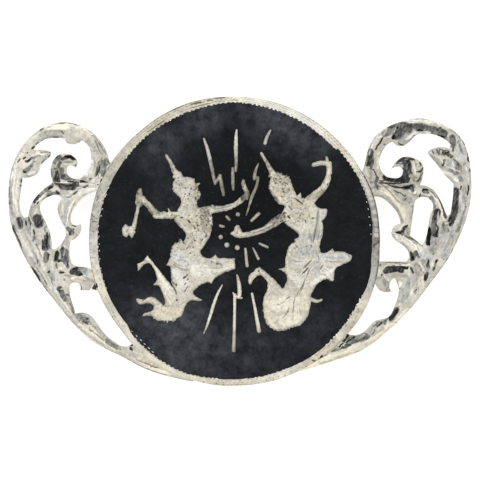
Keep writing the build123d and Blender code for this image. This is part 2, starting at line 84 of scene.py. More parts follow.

# Graver's cuts in the wings, dark from tarnish in the groove and from a painted reflection of
# the cut facet; in disc shares: tone, width, then x and y of each point.
LEFT_CUTS: list[Row] = [
    (60, 14, -1347, 765, -1330, 773), (60, 8, -1220, 818, -1170, 818),
    (60, 18, -1497, 545, -1480, 572), (80, 18, -1457, 565, -1447, 578),
    (85, 18, -1403, 638, -1385, 655), (55, 12, -1375, 668, -1350, 685),
    (70, 10, -1340, 692, -1315, 698), (70, 10, -1250, 717, -1215, 718),
    (45, 12, -1200, 762, -1175, 738), (25, 12, -1180, 765, -1165, 755),
    (35, 9, -960, 700, -940, 650, -925, 600), (35, 9, -955, 712, -915, 655, -888, 600),
    (50, 12, -1280, 620, -1275, 610), (60, 10, -1270, 595, -1285, 582),
    (55, 12, -1335, 505, -1330, 530, -1310, 560), (40, 10, -1360, 485, -1375, 465),
    (65, 20, -1445, 550, -1410, 567), (70, 18, -1460, 482, -1440, 472),
    (35, 20, -1440, 475, -1410, 500), (65, 12, -1470, 425, -1473, 410),
    (60, 10, -1478, 395, -1480, 380), (45, 12, -1558, 370, -1562, 300),
    (80, 12, -1558, 270, -1555, 255), (75, 20, -1290, 368, -1258, 380),
    (45, 20, -1300, 345, -1270, 345), (90, 16, -1295, 312, -1270, 317),
    (70, 20, -1230, 345, -1225, 330, -1210, 328), (75, 16, -1390, 270, -1375, 295, -1350, 320),
    (75, 14, -1365, 258, -1355, 275), (50, 12, -1270, 500, -1265, 450),
    (70, 10, -1235, 575, -1220, 590), (95, 22, -1170, 585, -1130, 582, -1105, 567),
    (50, 10, -1100, 530, -1095, 520), (55, 20, -1210, 520, -1205, 490),
    (60, 25, -1190, 455, -1175, 450), (85, 15, -1150, 415, -1110, 408),
    (70, 14, -1065, 425, -1050, 410, -1020, 405), (50, 14, -1000, 425, -985, 435),
    (65, 16, -1110, 325, -1080, 345), (65, 18, -1045, 370, -1005, 385),
    (40, 10, -1160, 305, -1130, 308), (80, 16, -925, 520, -935, 490, -950, 455),
    (80, 10, -910, 430, -925, 410), (70, 22, -1495, 165, -1490, 130, -1480, 100),
    (50, 15, -1470, 150, -1465, 105), (70, 10, -1445, 140, -1437, 110),
    (55, 14, -1425, 170, -1420, 150, -1410, 110), (85, 12, -1387, 75, -1385, 50),
    (40, 10, -1387, 40, -1390, 0),
    (75, 18, -1530, 110, -1528, 80, -1510, 40, -1490, 0, -1470, -40),
    (85, 12, -1328, 10, -1323, -55), (50, 12, -1310, 20, -1310, -50),
    (80, 14, -1295, 60, -1297, 0, -1295, -50), (55, 20, -1280, 50, -1280, -50),
    (85, 10, -1283, -95, -1285, -130), (70, 25, -1225, -65, -1235, -100, -1240, -130),
    (80, 15, -1220, -145, -1200, -135), (40, 8, -1190, -20, -1195, -90),
    (70, 12, -1150, -140, -1150, -170), (60, 10, -1120, 110, -1090, 105),
    (90, 10, -1120, -200, -1105, -185), (90, 10, -1105, -200, -1090, -175),
    (90, 10, -1090, -200, -1075, -175), (85, 22, -1070, -225, -1045, -230),
    (50, 8, -1100, -172, -1030, -180), (75, 22, -1205, -215, -1180, -213),
    (45, 12, -1230, -155, -1228, -185), (70, 18, -1278, -205, -1290, -220),
    (45, 10, -1365, -120, -1362, -155),
    (90, 18, -1400, -180, -1385, -200, -1370, -230, -1340, -280),
    (55, 10, -1320, -310, -1300, -335, -1275, -370),
    (30, 8, -1370, -180, -1330, -240, -1300, -290), (45, 10, -1310, -265, -1297, -300),
    (35, 10, -1285, -235, -1265, -260, -1255, -290, -1245, -320),
    (25, 8, -1245, -240, -1240, -280), (70, 22, -1210, -345, -1215, -325, -1195, -315),
    (55, 20, -1160, -370, -1145, -375), (15, 10, -1145, -350, -1130, -420, -1100, -490),
    (45, 20, -1120, -480, -1105, -500), (35, 6, -1070, -495, -1030, -497),
    (45, 8, -1045, -540, -1043, -575), (70, 14, -1065, -300, -1060, -330),
    (35, 10, -1000, -605, -960, -640, -920, -670, -900, -690),
    (20, 8, -930, -700, -850, -745, -780, -775), (80, 22, -1385, 262, -1375, 285, -1355, 300),
    (95, 20, -726, -708, -702, -722), (95, 20, -722, -736, -702, -750),
    (35, 10, -680, -815, -620, -840, -520, -880),
    (38, 10, -750, -805, -700, -840, -620, -875, -550, -900, -450, -935),
    (60, 10, -1400, -175, -1372, -225), (95, 40, -968, -306, -962, -330), (85, 20, -1130, 50),
    (80, 20, -1015, -535), (80, 15, -1110, 80), (80, 14, -1430, 612), (75, 14, -940, 390),
    *dots(70, 12, -865, 555, -860, 510), (70, 10, -1275, -95), (62, 10, -872, 552),
    *dots(60, 15, -1245, 500, -1368, -25), *dots(60, 12, -1326, 777, -895, 465),
    (60, 11, -880, 528), *dots(60, 10, -1410, 518, -1345, -168), (58, 9, -866, 538),
    (50, 20, -1020, -560), (50, 16, -572, -868), (50, 14, -815, -742), (50, 12, -1262, 395),
    (50, 10, -1240, 318), (45, 20, -785, -745), (45, 9, -892, 545), (40, 18, -1175, -262),
    *dots(40, 15, -1310, 582, -1155, -430), *dots(40, 12, -1020, -240, -1070, -550),
    *dots(40, 10, -1292, 605, -845, 530), (35, 20, -915, 575), (30, 10, -1258, -230),
    (25, 10, -1360, 5),
]
RIGHT_CUTS: list[Row] = [
    (80, 18, 968, 630, 985, 655, 1005, 680, 1020, 710),
    (60, 10, 930, 500, 960, 490, 980, 455, 995, 420), (45, 25, 1065, 780, 1090, 790),
    (95, 22, 1088, 706, 1102, 722), (85, 20, 1125, 790, 1120, 770),
    (45, 10, 1140, 812, 1200, 815), (80, 12, 1250, 765, 1300, 760),
    (80, 12, 1400, 730, 1440, 720), (70, 12, 1505, 645, 1500, 615),
    (70, 12, 1125, 680, 1140, 665, 1160, 655), (35, 12, 1200, 690, 1230, 720, 1270, 735),
    (80, 8, 1150, 575, 1200, 575), (85, 20, 1200, 565, 1235, 560), (95, 10, 1040, 400, 1150, 395),
    (75, 12, 1000, 415, 1030, 415), (60, 10, 1000, 400, 1020, 390),
    (60, 12, 1270, 540, 1285, 520), (70, 18, 1295, 505, 1280, 480, 1255, 475),
    (55, 16, 1290, 470, 1270, 420, 1250, 410),
    (80, 14, 1050, 390, 1100, 375, 1150, 370, 1200, 370, 1225, 390),
    (55, 25, 980, 440, 975, 400, 985, 360), (50, 8, 1100, 350, 1140, 330, 1180, 310),
    (35, 10, 1010, 390, 1050, 360, 1090, 320, 1130, 270, 1160, 250),
    (80, 12, 1278, 325, 1275, 305), (95, 20, 1295, 345, 1305, 355, 1330, 355),
    (40, 8, 1335, 350, 1360, 335, 1385, 305), (35, 8, 1320, 310, 1345, 290, 1350, 260),
    (80, 10, 1410, 285, 1425, 250, 1435, 220), (85, 10, 1385, 120, 1400, 85, 1390, 40),
    (75, 20, 1365, 40, 1395, 35), (95, 25, 1340, 95, 1338, 50, 1337, 0, 1340, -25),
    (70, 20, 1480, 160, 1475, 130), (95, 20, 1490, 125, 1480, 105),
    (80, 14, 1552, 380, 1555, 355), (95, 18, 1570, 690, 1580, 665),
    (95, 16, 1600, 600, 1605, 575, 1610, 540), (60, 12, 1617, 500, 1620, 475),
    (95, 12, 1605, 385, 1607, 355, 1598, 315), (50, 10, 1360, 625, 1370, 595),
    (50, 10, 1390, 635, 1400, 600), (50, 10, 1410, 630, 1405, 590),
    (50, 10, 1430, 625, 1435, 600), (75, 20, 1450, 605, 1475, 615),
    (60, 10, 1465, 600, 1465, 575), (50, 8, 1400, 635, 1470, 620), (70, 20, 1480, 575, 1500, 585),
    (45, 8, 1505, 570, 1530, 540, 1535, 520), (50, 12, 1440, 565, 1435, 550),
    (70, 10, 1435, 545, 1435, 520), (30, 12, 1550, 530, 1560, 480, 1570, 460),
    (30, 6, 1580, 550, 1600, 500), (95, 28, 1190, 107, 1170, 90, 1155, 65, 1115, 55),
    (45, 8, 1170, 40, 1200, 30, 1230, 15, 1260, 0, 1295, -35),
    (95, 25, 1215, -75, 1220, -100, 1230, -125),
    (75, 14, 1045, -182, 1080, -176, 1140, -170, 1170, -182, 1190, -190),
    (25, 8, 1030, -148, 1150, -142, 1190, -150), (70, 14, 1012, -240, 1020, -225),
    (70, 15, 1210, -180, 1220, -200, 1230, -222), (40, 8, 1120, -270, 1130, -310),
    (45, 10, 1250, -330, 1245, -350), (30, 12, 1380, -10, 1395, -30),
    (80, 12, 1388, -125, 1385, -145), (40, 10, 1375, -180, 1370, -195),
    (60, 22, 1335, -130, 1325, -180), (50, 22, 1330, -215, 1320, -240, 1310, -260),
    (35, 10, 1470, -115, 1450, -140), (30, 10, 1500, -50, 1490, -80),
    (35, 8, 1435, -115, 1445, -130), (85, 28, 1125, -470, 1100, -500, 1065, -540),
    (65, 14, 1020, -555, 1000, -575, 985, -590), (50, 10, 970, -610, 940, -645),
    (75, 10, 830, -660, 800, -680, 770, -700), (80, 16, 790, -640, 760, -680, 740, -695),
    (95, 12, 750, -705, 715, -730), (70, 20, 760, -715, 800, -715),
    (30, 12, 700, -745, 660, -760), (75, 14, 995, 402, 1070, 398), (85, 20, 1220, 385),
    (85, 18, 1430, 520), (80, 20, 1415, 780), (80, 15, 915, 520), (75, 14, 1125, 335),
    (75, 12, 1450, 165), (70, 15, 1035, 665), (70, 14, 1005, -165), (65, 12, 1232, 205),
    (60, 16, 980, -560), (60, 14, 1205, 260), *dots(60, 12, 1430, 765, 1225, 240),
    *dots(60, 10, 1585, 255, 1585, 235), (50, 20, 1180, 290), (50, 14, 1370, -90),
    (50, 12, 1520, 510), (40, 15, 1070, -335), *dots(40, 12, 1240, 415, 1135, -325, 1030, -545),
    *dots(40, 10, 1010, 495, 1180, 318, 1448, 135, 1200, -290), (30, 12, 1590, 470),
]

# Raised ridges in the wings with painted highlights: rise, width, then x and y of each point.
LEFT_LIGHTS: list[Row] = [
    (80, 14, -1250, 408, -1110, 403), (60, 20, -1310, 775, -1240, 790),
    (90, 20, -935, 435, -925, 460), (40, 30, -1520, 450, -1530, 350, -1520, 250),
    (70, 35, -1260, 800, -1150, 810, -1045, 785, -975, 740),
    (50, 50, -990, 650, -990, 545, -1025, 455), (60, 30, -1405, 590, -1330, 605, -1285, 615),
    (70, 30, -1430, 460, -1350, 480), (80, 30, -1225, 375, -1200, 345),
    (50, 30, -1135, 325, -1025, 370, -970, 395), (50, 30, -1190, 275, -1190, 185),
    (80, 30, -1100, 280, -1150, 185, -1160, 115), (70, 40, -1505, 285, -1500, 205),
    (50, 50, -1525, 525, -1535, 385, -1530, 255), (60, 20, -1260, -130, -1250, -210),
    (40, 30, -1480, 40, -1420, -65, -1350, -175),
    (50, 30, -1450, 80, -1385, -30, -1315, -190, -1205, -390, -1100, -515),
    (60, 30, -1130, -265, -1080, -250, -1025, -265), (50, 20, -1290, 95, -1275, -30),
    (70, 50, -1000, -570, -935, -675, -830, -765), (60, 40, -1160, -450, -1080, -570, -935, -695),
    (60, 20, -1330, 555, -1350, 505), (50, 20, -1220, 555, -1240, 505),
    (60, 20, -1200, 420, -1080, 420), (50, 20, -1365, 220, -1385, 185),
    (60, 20, -1405, 115, -1400, 5), (50, 30, -1330, -100, -1350, -30),
    (70, 20, -1180, -100, -1170, -30), (60, 30, -1115, 40, -1135, -5),
    (50, 40, -1060, 690, -1000, 635), (60, 20, -1305, 310, -1350, 285), (80, 30, -1195, -190),
    (80, 12, -1235, 490), (70, 30, -970, 420),
]
RIGHT_LIGHTS: list[Row] = [
    (80, 10, 1080, 720, 1110, 780), (70, 26, 1200, 828, 1300, 830),
    (60, 12, 1030, -155, 1190, -160), (80, 14, 1120, 394, 1210, 392),
    (80, 30, 1135, 825, 1260, 835, 1390, 820, 1505, 765), (50, 30, 990, 705, 1045, 755),
    (60, 30, 995, 575, 985, 495), (70, 40, 1180, 695, 1245, 745, 1310, 755),
    (70, 20, 1395, 590, 1455, 510), (60, 30, 1500, 545, 1515, 470),
    (50, 40, 1560, 695, 1590, 570), (50, 40, 1015, 350, 1100, 290, 1155, 205, 1165, 135),
    (90, 20, 1230, 320, 1255, 345), (60, 20, 1245, 185, 1225, 115),
    (80, 30, 1335, 345, 1405, 270, 1430, 185, 1455, 110),
    (80, 30, 1165, 30, 1245, -30, 1280, -105), (80, 20, 1095, 55, 1155, 40),
    (70, 20, 1065, -175, 1200, -160, 1245, -190), (70, 30, 1265, -135, 1310, -210),
    (60, 20, 1285, -250, 1300, -320), (70, 40, 1065, -535, 1035, -620),
    (70, 35, 975, -700, 1245, -465, 1390, -265, 1515, -70),
    (50, 40, 1555, 365, 1565, 220, 1515, 80), (50, 30, 1590, 525, 1605, 400),
    (70, 20, 1400, 205, 1390, 80), (70, 20, 1155, 625, 1120, 645), (70, 20, 1460, 115, 1485, 130),
    (60, 30, 905, -640, 830, -675), (60, 20, 960, 690, 925, 590), (70, 20, 1235, 545, 1245, 455),
    (80, 20, 1120, 525, 1155, 545), (60, 30, 1065, -280, 1030, -245),
    (60, 20, 1430, 385, 1425, 435), (80, 20, 1060, 715), (80, 15, 1175, 565),
]

# Soft patches of painted shade and painted reflection on the wings, with a cream tint, in disc
# shares: tone, warmth, width, then x and y.
LEFT_SHADES: list[Row] = [
    (33, 3, 50, -1330, 738, -1273, 750, -1200, 752),
    (24, 3, 30, -1380, 682, -1310, 712, -1200, 722), (6, 8, 40, -1300, 785, -1150, 790),
    (9, 9, 50, -1080, 785, -1000, 740), (28, 6, 60, -1030, 710, -975, 640, -945, 570),
    (19, 5, 120, -1130, 730, -1060, 730), (27, 5, 45, -945, 680, -910, 620, -880, 560),
    (53, 1, 35, -920, 555, -890, 530), (50, 0, 45, -905, 500, -895, 460),
    (31, 3, 60, -985, 560, -990, 490, -1040, 440),
    (50, 1, 26, -1430, 556, -1375, 588, -1350, 590),
    (50, 0, 34, -1450, 485, -1410, 515, -1385, 545), (24, 4, 80, -1360, 520, -1330, 560),
    (21, 6, 30, -1300, 600, -1280, 600), (14, 0, 20, -1530, 480, -1545, 380, -1540, 250),
    (12, 5, 20, -1490, 480, -1505, 350, -1500, 250), (47, 4, 35, -1225, 575, -1200, 585),
    (65, 4, 40, -1210, 540, -1235, 500), (74, 4, 30, -1190, 570, -1130, 585, -1105, 560),
    (18, 5, 40, -1165, 540, -1105, 545), (59, 3, 40, -1190, 495, -1190, 440),
    (65, 1, 34, -1165, 450, -1120, 425, -1085, 410),
    (78, 2, 50, -1195, 385, -1160, 370, -1115, 372, -1095, 392),
    (77, 5, 20, -1060, 412, -1010, 405), (25, 4, 40, -1020, 400, -965, 408),
    (47, 5, 30, -1350, 310, -1310, 350, -1260, 385), (24, 5, 20, -1300, 330, -1270, 340),
    (30, 0, 60, -1170, 290, -1155, 240, -1180, 170, -1175, 110),
    (18, 7, 50, -1100, 305, -1050, 330, -1120, 230), (65, 0, 40, -1145, 85, -1120, 60),
    (30, 4, 60, -1150, 20, -1165, -30), (59, 0, 50, -1490, 150, -1480, 100),
    (38, 0, 60, -1440, 140, -1420, 110), (87, 0, 85, -1362, 155, -1352, 125),
    (35, 3, 100, -1430, 50, -1400, -50, -1360, -150), (19, 5, 60, -1470, 30, -1420, -90),
    (61, 0, 50, -1300, 30, -1305, -50), (35, 0, 30, -1270, 40, -1265, -40),
    (65, 4, 50, -1298, -95, -1302, -130), (71, 0, 40, -1225, -80, -1235, -130),
    (59, 0, 40, -1160, -70, -1160, -120), (35, 0, 40, -1190, -60, -1195, -100),
    (53, 0, 30, -1170, -150, -1150, -175), (59, 0, 60, -1115, -205, -1060, -205),
    (41, 0, 50, -1040, -200, -1020, -215), (26, 1, 60, -1280, -200, -1250, -280, -1230, -330),
    (21, 4, 60, -1200, -240, -1210, -290), (61, 0, 45, -1195, -350, -1168, -405),
    (33, 2, 30, -1145, -400, -1110, -470), (47, 2, 60, -1080, -520, -1020, -545),
    (35, 7, 60, -980, -600, -900, -680, -820, -730), (50, 3, 35, -880, -690, -800, -735),
    (6, 8, 70, -1060, -620, -930, -720, -780, -800),
    (6, 7, 80, -1300, -350, -1235, -440, -1130, -560, -1060, -625),
    (6, 10, 120, -740, -800, -620, -850, -480, -900), (87, 1, 58, -1232, 470, -1228, 410),
    (57, 4, 50, -1238, 545, -1215, 575), (42, 4, 30, -1250, 520, -1252, 450),
    (61, 1, 34, -1185, 440, -1130, 422), (38, 8, 26, -1335, 500, -1322, 545),
    (35, 1, 60, -1535, 180, -1522, 90), (42, 1, 40, -1302, 90, -1285, 50),
    (71, 0, 45, -1185, -60, -1178, -115), (66, 0, 28, -1235, -130, -1150, -135),
    (83, 0, 42, -1125, -215, -1070, -222), (38, 1, 50, -1290, -220, -1265, -270),
    (42, 3, 50, -1110, -520, -1070, -560), (54, 3, 34, -1030, -550, -1000, -570),
    (24, 10, 70, -660, -800, -500, -865, -440, -885), (26, 6, 50, -780, -755, -660, -800),
    (47, 4, 30, -1290, 325, -1220, 330), (38, 4, 35, -1120, 322, -1060, 352),
    (35, 3, 50, -1000, 500, -1040, 450), (22, 4, 40, -970, 600, -985, 500, -1010, 455),
    (26, 2, 40, -1560, 400, -1555, 250, -1530, 120), (30, 4, 40, -1385, 240, -1410, 190),
    (62, 3, 20, -934, 548, -944, 490, -958, 452), (50, 1, 50, -924, 520, -914, 462),
    (54, 2, 18, -890, 530, -888, 500, -896, 458), (48, 6, 40, -884, 560, -870, 536),
    (8, 3, 50, -1060, 330, -990, 358, -940, 368),
    (4, 7, 44, -1080, -590, -930, -722, -780, -800, -620, -870, -470, -915),
]
RIGHT_SHADES: list[Row] = [
    (83, 0, 60, 938, 612, 933, 520), (35, 4, 40, 920, 500, 950, 450),
    (31, 7, 40, 985, 610, 975, 540, 1000, 450), (24, 2, 50, 960, 680, 1000, 740),
    (59, 2, 55, 1030, 735, 1085, 762), (53, 2, 30, 1060, 780, 1100, 800),
    (89, 1, 40, 1095, 720, 1110, 750), (61, 0, 90, 1130, 780, 1160, 770),
    (71, 0, 70, 1170, 785, 1300, 778, 1400, 755, 1440, 738),
    (62, 0, 50, 1320, 760, 1400, 740, 1440, 720), (38, 2, 80, 1160, 700, 1220, 745),
    (18, 6, 30, 1230, 740, 1340, 745), (65, 1, 50, 1495, 710, 1500, 660),
    (24, 1, 90, 1560, 680, 1555, 580), (35, 3, 50, 1350, 620, 1440, 600),
    (65, 1, 30, 1440, 610, 1480, 590), (35, 0, 60, 1450, 540, 1500, 530),
    (50, 5, 30, 1530, 530, 1545, 500), (47, 0, 40, 1480, 480, 1540, 460, 1555, 420),
    (14, 4, 30, 1420, 490, 1480, 460, 1530, 420), (33, 2, 60, 1590, 520, 1595, 400, 1580, 280),
    (50, 2, 50, 1575, 300, 1560, 180, 1530, 80), (83, 0, 60, 1522, 345, 1512, 200, 1482, 110),
    (78, 0, 64, 1165, 556, 1190, 540), (85, 0, 75, 1190, 520, 1205, 470, 1170, 420),
    (92, 0, 72, 1050, 440, 1120, 430, 1180, 430), (24, 5, 60, 1245, 540, 1240, 480),
    (42, 9, 40, 1215, 450, 1245, 430), (53, 1, 40, 1190, 370, 1225, 380),
    (17, 9, 50, 1010, 360, 1080, 320, 1150, 230, 1175, 140), (35, 3, 50, 1170, 300, 1220, 280),
    (26, 5, 50, 1240, 330, 1240, 250), (38, 2, 40, 985, 430, 990, 370),
    (38, 4, 50, 945, 430, 958, 380, 950, 335), (14, 5, 60, 1320, 340, 1370, 270),
    (27, 7, 50, 1410, 230, 1420, 130), (92, 0, 60, 1395, 200, 1380, 150),
    (73, 0, 65, 1375, 120, 1380, 50), (92, 0, 30, 1342, 80, 1338, -20),
    (35, 10, 30, 1445, 190, 1450, 140), (34, 2, 130, 1465, 80, 1440, -20),
    (36, 2, 50, 1490, 20, 1440, -110), (41, 9, 30, 1180, 40, 1220, 20),
    (10, 4, 60, 1130, 30, 1220, -20, 1270, -60), (65, 0, 40, 1250, -80, 1270, -100),
    (28, 1, 90, 1330, -60, 1320, -150), (45, 1, 30, 1330, -130, 1335, -180),
    (53, 9, 20, 1390, -130, 1370, -200), (73, 1, 30, 1325, -220, 1310, -260),
    (92, 1, 54, 1045, -205, 1110, -190, 1148, -198), (80, 1, 26, 1120, -180, 1188, -184),
    (35, 1, 80, 1180, -260, 1170, -400), (33, 3, 50, 1235, -200, 1250, -350),
    (45, 4, 50, 1040, -270, 1055, -330), (12, 8, 40, 1140, -290, 1120, -330),
    (73, 1, 45, 1120, -470, 1080, -530), (47, 1, 35, 1000, -560, 960, -600),
    (35, 0, 35, 960, -590, 920, -650), (57, 0, 45, 920, -660, 850, -680, 790, -700),
    (60, 8, 30, 820, -660, 760, -690), (65, 2, 20, 800, -720, 740, -735, 680, -755),
    (7, 8, 60, 1200, -480, 1080, -600, 900, -720), (7, 10, 70, 800, -770, 640, -820, 450, -880),
    (73, 0, 65, 1120, 720, 1160, 765, 1200, 775), (47, 1, 50, 1550, 680, 1575, 610),
    (57, 3, 28, 1510, 512, 1522, 500), (78, 0, 50, 1128, 545, 1160, 555),
    (85, 0, 50, 1165, 490, 1175, 440), (71, 1, 38, 1165, 366, 1215, 370, 1222, 352),
    (42, 2, 50, 1355, 290, 1370, 240), (47, 9, 38, 1445, 215, 1450, 170),
    (57, 2, 30, 1110, 52, 1160, 52), (42, 5, 50, 1190, 80, 1215, 40),
    (92, 0, 28, 1330, 80, 1328, -20), (40, 3, 60, 1370, 20, 1365, -70),
    (50, 2, 50, 1448, 120, 1455, 80), (42, 2, 70, 1300, -150, 1315, -200),
    (66, 1, 45, 1075, -530, 1040, -560), (73, 1, 48, 900, -650, 840, -675),
    (59, 8, 28, 792, -635, 775, -660), (12, 7, 60, 900, -712, 800, -748),
    (47, 8, 45, 640, -755, 580, -800), (41, 8, 34, 560, -815, 530, -830),
    (40, 2, 60, 1575, 340, 1570, 240), (53, 3, 30, 1300, 345, 1330, 335),
    (38, 5, 30, 1235, 240, 1225, 170), (68, 0, 40, 1235, -95, 1225, -125),
    (7, 3, 30, 1190, 822, 1260, 830, 1340, 818),
    (27, 8, 40, 720, -735, 620, -775, 560, -812, 470, -855), (60, 2, 30, 1440, 240, 1450, 180),
    (42, 2, 40, 1250, -170, 1290, -190),
]

# Raised scrolls of each wing, in disc shares: x, y and width of the middle line.
LEFT_SCROLLS: list[list[Row]] = [
    [(-900, 430, 40), (-925, 530, 50), (-950, 630, 50), (-1020, 720, 60), (-1150, 765, 60),
     (-1300, 755, 50), (-1400, 675, 50), (-1490, 530, 45), (-1525, 360, 40), (-1515, 150, 50),
     (-1462, 0, 50), (-1362, -160, 50), (-1225, -360, 50), (-1105, -537, 40), (-955, -640, 50),
     (-800, -750, 35), (-620, -825, 40)],
    [(-1490, 500, 50), (-1400, 540, 70), (-1310, 595, 30)],
    [(-920, 385, 40), (-1100, 400, 30), (-1200, 430, 50), (-1235, 500, 50), (-1200, 565, 30),
     (-1120, 565, 30)],
    [(-935, 350, 40), (-1070, 340, 40), (-1155, 250, 50), (-1170, 140, 50), (-1155, 20, 30),
     (-1190, -120, 40), (-1200, -280, 50), (-1170, -400, 40)],
    [(-1220, 350, 40), (-1310, 330, 30), (-1375, 240, 40), (-1370, 120, 50), (-1320, -20, 50),
     (-1300, -160, 50), (-1240, -320, 40)],
    [(-1190, -220, 40), (-1100, -215, 40), (-960, -250, 40)],
]
RIGHT_SCROLLS: list[list[Row]] = [
    [(890, 430, 30), (930, 510, 40), (940, 610, 40), (990, 700, 40), (1100, 755, 50),
     (1250, 790, 50), (1420, 765, 50), (1540, 670, 50), (1570, 500, 60), (1570, 330, 60),
     (1540, 160, 60), (1480, 0, 50), (1380, -180, 50), (1240, -370, 50), (1085, -550, 40),
     (950, -660, 40), (780, -750, 40), (600, -820, 30)],
    [(1520, 500, 50), (1440, 550, 60), (1380, 600, 40)],
    [(920, 385, 30), (1080, 405, 40), (1200, 440, 50), (1235, 500, 50), (1200, 550, 40),
     (1140, 545, 20)],
    [(935, 345, 40), (1070, 325, 50), (1160, 220, 50), (1190, 120, 40), (1160, 40, 50),
     (1220, -30, 50), (1250, -120, 50), (1190, -300, 50), (1150, -440, 40)],
    [(1240, 340, 40), (1340, 330, 40), (1405, 230, 50), (1400, 100, 50), (1350, -40, 50),
     (1280, -200, 50)],
    [(1180, -200, 50), (1080, -200, 50), (965, -230, 40)],
]

# Engraving of the dancers, in shares of the niello field: tone, width, then x and y.
LEFT_ENGRAVING: list[Row] = [
    (15, 8, -380, 455, -330, 445, -300, 430), (45, 10, -430, 218, -405, 218),
    (80, 14, -390, 172, -372, 172), (85, 15, -338, 156, -325, 136),
    (65, 16, -272, 118, -262, 110), (45, 10, -250, 235, -232, 200),
    (45, 10, -225, 240, -205, 190), (40, 10, -200, 248, -190, 205),
    (45, 10, -260, 180, -235, 160), (45, 10, -230, 185, -205, 150),
    (45, 10, -205, 180, -180, 140), (40, 10, -245, 145, -220, 118),
    (35, 10, -190, 215, -175, 180), (35, 8, -155, 235, -90, 243, -20, 262),
    (30, 8, -120, 225, -50, 233), (40, 8, -237, 75, -222, 110, -185, 130),
    (35, 8, -205, 85, -190, 95), (55, 12, -370, -8, -365, -22), (55, 20, -208, 45, -210, 25),
    (30, 10, -245, -5, -225, 20), (25, 8, -255, 45, -235, 60),
    (35, 8, -460, -155, -430, -183, -380, -205, -340, -205),
    (25, 8, -440, -150, -410, -175, -370, -185), (20, 8, -300, -110, -270, -150, -220, -160),
    (80, 13, -338, -240, -355, -258), (85, 18, -355, -258, -373, -268),
    (75, 12, -332, -272, -345, -285), (70, 14, -348, -300, -362, -318),
    (55, 12, -337, -325, -352, -350), (65, 13, -352, -350, -362, -368),
    (65, 14, -450, -295, -435, -312), (75, 18, -430, -315, -418, -322),
    (65, 12, -465, -310, -440, -340, -427, -365, -423, -392), (50, 15, -135, -163, -108, -165),
    (40, 12, -98, -170, -85, -180), (20, 8, -280, -200, -200, -190, -120, -195, -40, -180),
    (20, 8, -240, -240, -180, -245, -120, -225), (15, 10, -330, -420, -420, -480),
    (15, 10, -400, -380, -480, -520), (15, 10, -520, -440, -540, -540),
    (30, 12, -600, -535, -620, -525), (25, 12, -640, -420, -690, -440),
    (20, 10, -545, -340, -520, -400), (25, 12, -680, -180, -640, -130),
    (30, 10, -685, 355, -685, 330), (40, 10, -700, 290, -700, 275), (25, 8, -640, 265, -590, 205),
    (20, 8, -715, 220, -730, 130), (35, 14, -770, 85, -785, 65), (25, 8, -475, 580, -430, 490),
    (25, 13, -282, 390, -272, 375), (30, 12, -279, 357, -261, 350),
    (20, 11, -381, 437, -337, 452), (15, 11, -395, 394, -373, 423, -322, 437),
    (60, 12, -435, 219, -406, 216), (55, 19, -333, 154, -319, 129), (50, 13, -301, 118, -286, 89),
    (50, 13, -272, 125, -253, 107), (30, 10, -221, 89, -199, 114, -170, 125),
    (30, 9, -148, 230, -90, 239, -32, 252, 26, 277), (20, 9, -141, 248, -90, 256),
    (50, 19, -206, 52, -199, 31), (25, 10, -322, 60, -315, 23), (25, 10, -243, 45, -228, 1),
    (20, 10, -257, -35, -235, -13), (20, 9, -460, -173, -424, -202, -366, -213, -322, -206),
    (22, 9, -439, -151, -424, -180, -388, -198, -344, -202),
    (15, 9, -410, -166, -373, -180, -337, -180), (14, 22, -410, -140, -373, -133),
    (14, 22, -395, -107, -351, -78), (15, 9, -453, -122, -439, -86, -410, -57),
    (60, 16, -370, -271, -351, -260), (35, 12, -424, -304, -417, -325),
    (35, 12, -464, -296, -446, -325, -424, -362, -417, -391), (30, 12, -134, -166, -97, -169),
    (25, 13, -119, -151, -90, -173), (15, 18, -214, -166, -170, -180),
    (12, 12, -279, -151, -206, -195, -105, -198, -17, -173),
    (10, 12, -286, -209, -206, -231, -119, -216), (20, 11, -214, -144, -177, -137),
    (20, 11, -279, -122, -250, -151), (12, 10, -569, -427, -497, -471, -424, -478),
    (12, 10, -598, -463, -540, -514), (12, 10, -540, -492, -482, -536, -410, -529),
    (12, 10, -504, -412, -540, -354), (12, 10, -468, -427, -497, -369),
    (10, 10, -351, -427, -381, -485), (20, 11, -598, -180, -562, -238),
    (15, 11, -664, -166, -627, -129), (85, 20, -418, -428), (85, 16, -315, 385),
    (80, 16, -320, -88), *dots(75, 18, -357, 385, -358, 343, -288, 5), (75, 16, -325, 341),
    (75, 15, -335, 308), (65, 13, -562, 210), *dots(60, 14, -337, 25, -345, -50, -292, -100),
    (60, 12, -428, 172), (55, 20, -165, -147), *dots(55, 16, -283, 315, -282, 5),
    *dots(55, 14, -290, 90, -300, -45), (55, 12, -432, 172), *dots(50, 12, -320, -40, -337, 20,
    -319, -89), (45, 14, -310, 115), *dots(45, 12, -431, 223, -351, -2, -297, -46, -288, -102),
    (40, 16, -425, -100), (40, 15, -285, 345), (40, 14, -360, -15), *dots(40, 12, -262, 370,
    -265, 335, -224, 212, -228, 183, -228, 154, -275, 70, -257, 81, -341, -46),
    (35, 16, -408, 457), (35, 15, -302, 370), *dots(35, 14, -290, 300, -370, -60, -360, -145),
    (35, 13, -275, 317), *dots(35, 12, -228, 237, -206, 241, -203, 219, -181, 227, -206, 187,
    -188, 201, -206, 158, -184, 165, -214, 132, -192, 139, -642, 314, -304, 9, -319, -38,
    -362, -59, -184, 74), (30, 16, -215, -155), (30, 15, -280, 395), *dots(30, 14, -420, 425,
    -352, 243, -412, -143, -335, -172), (25, 14, -335, 225), (20, 29, -286, 372),
    (15, 29, -424, -104), (15, 18, -355, -144),
]
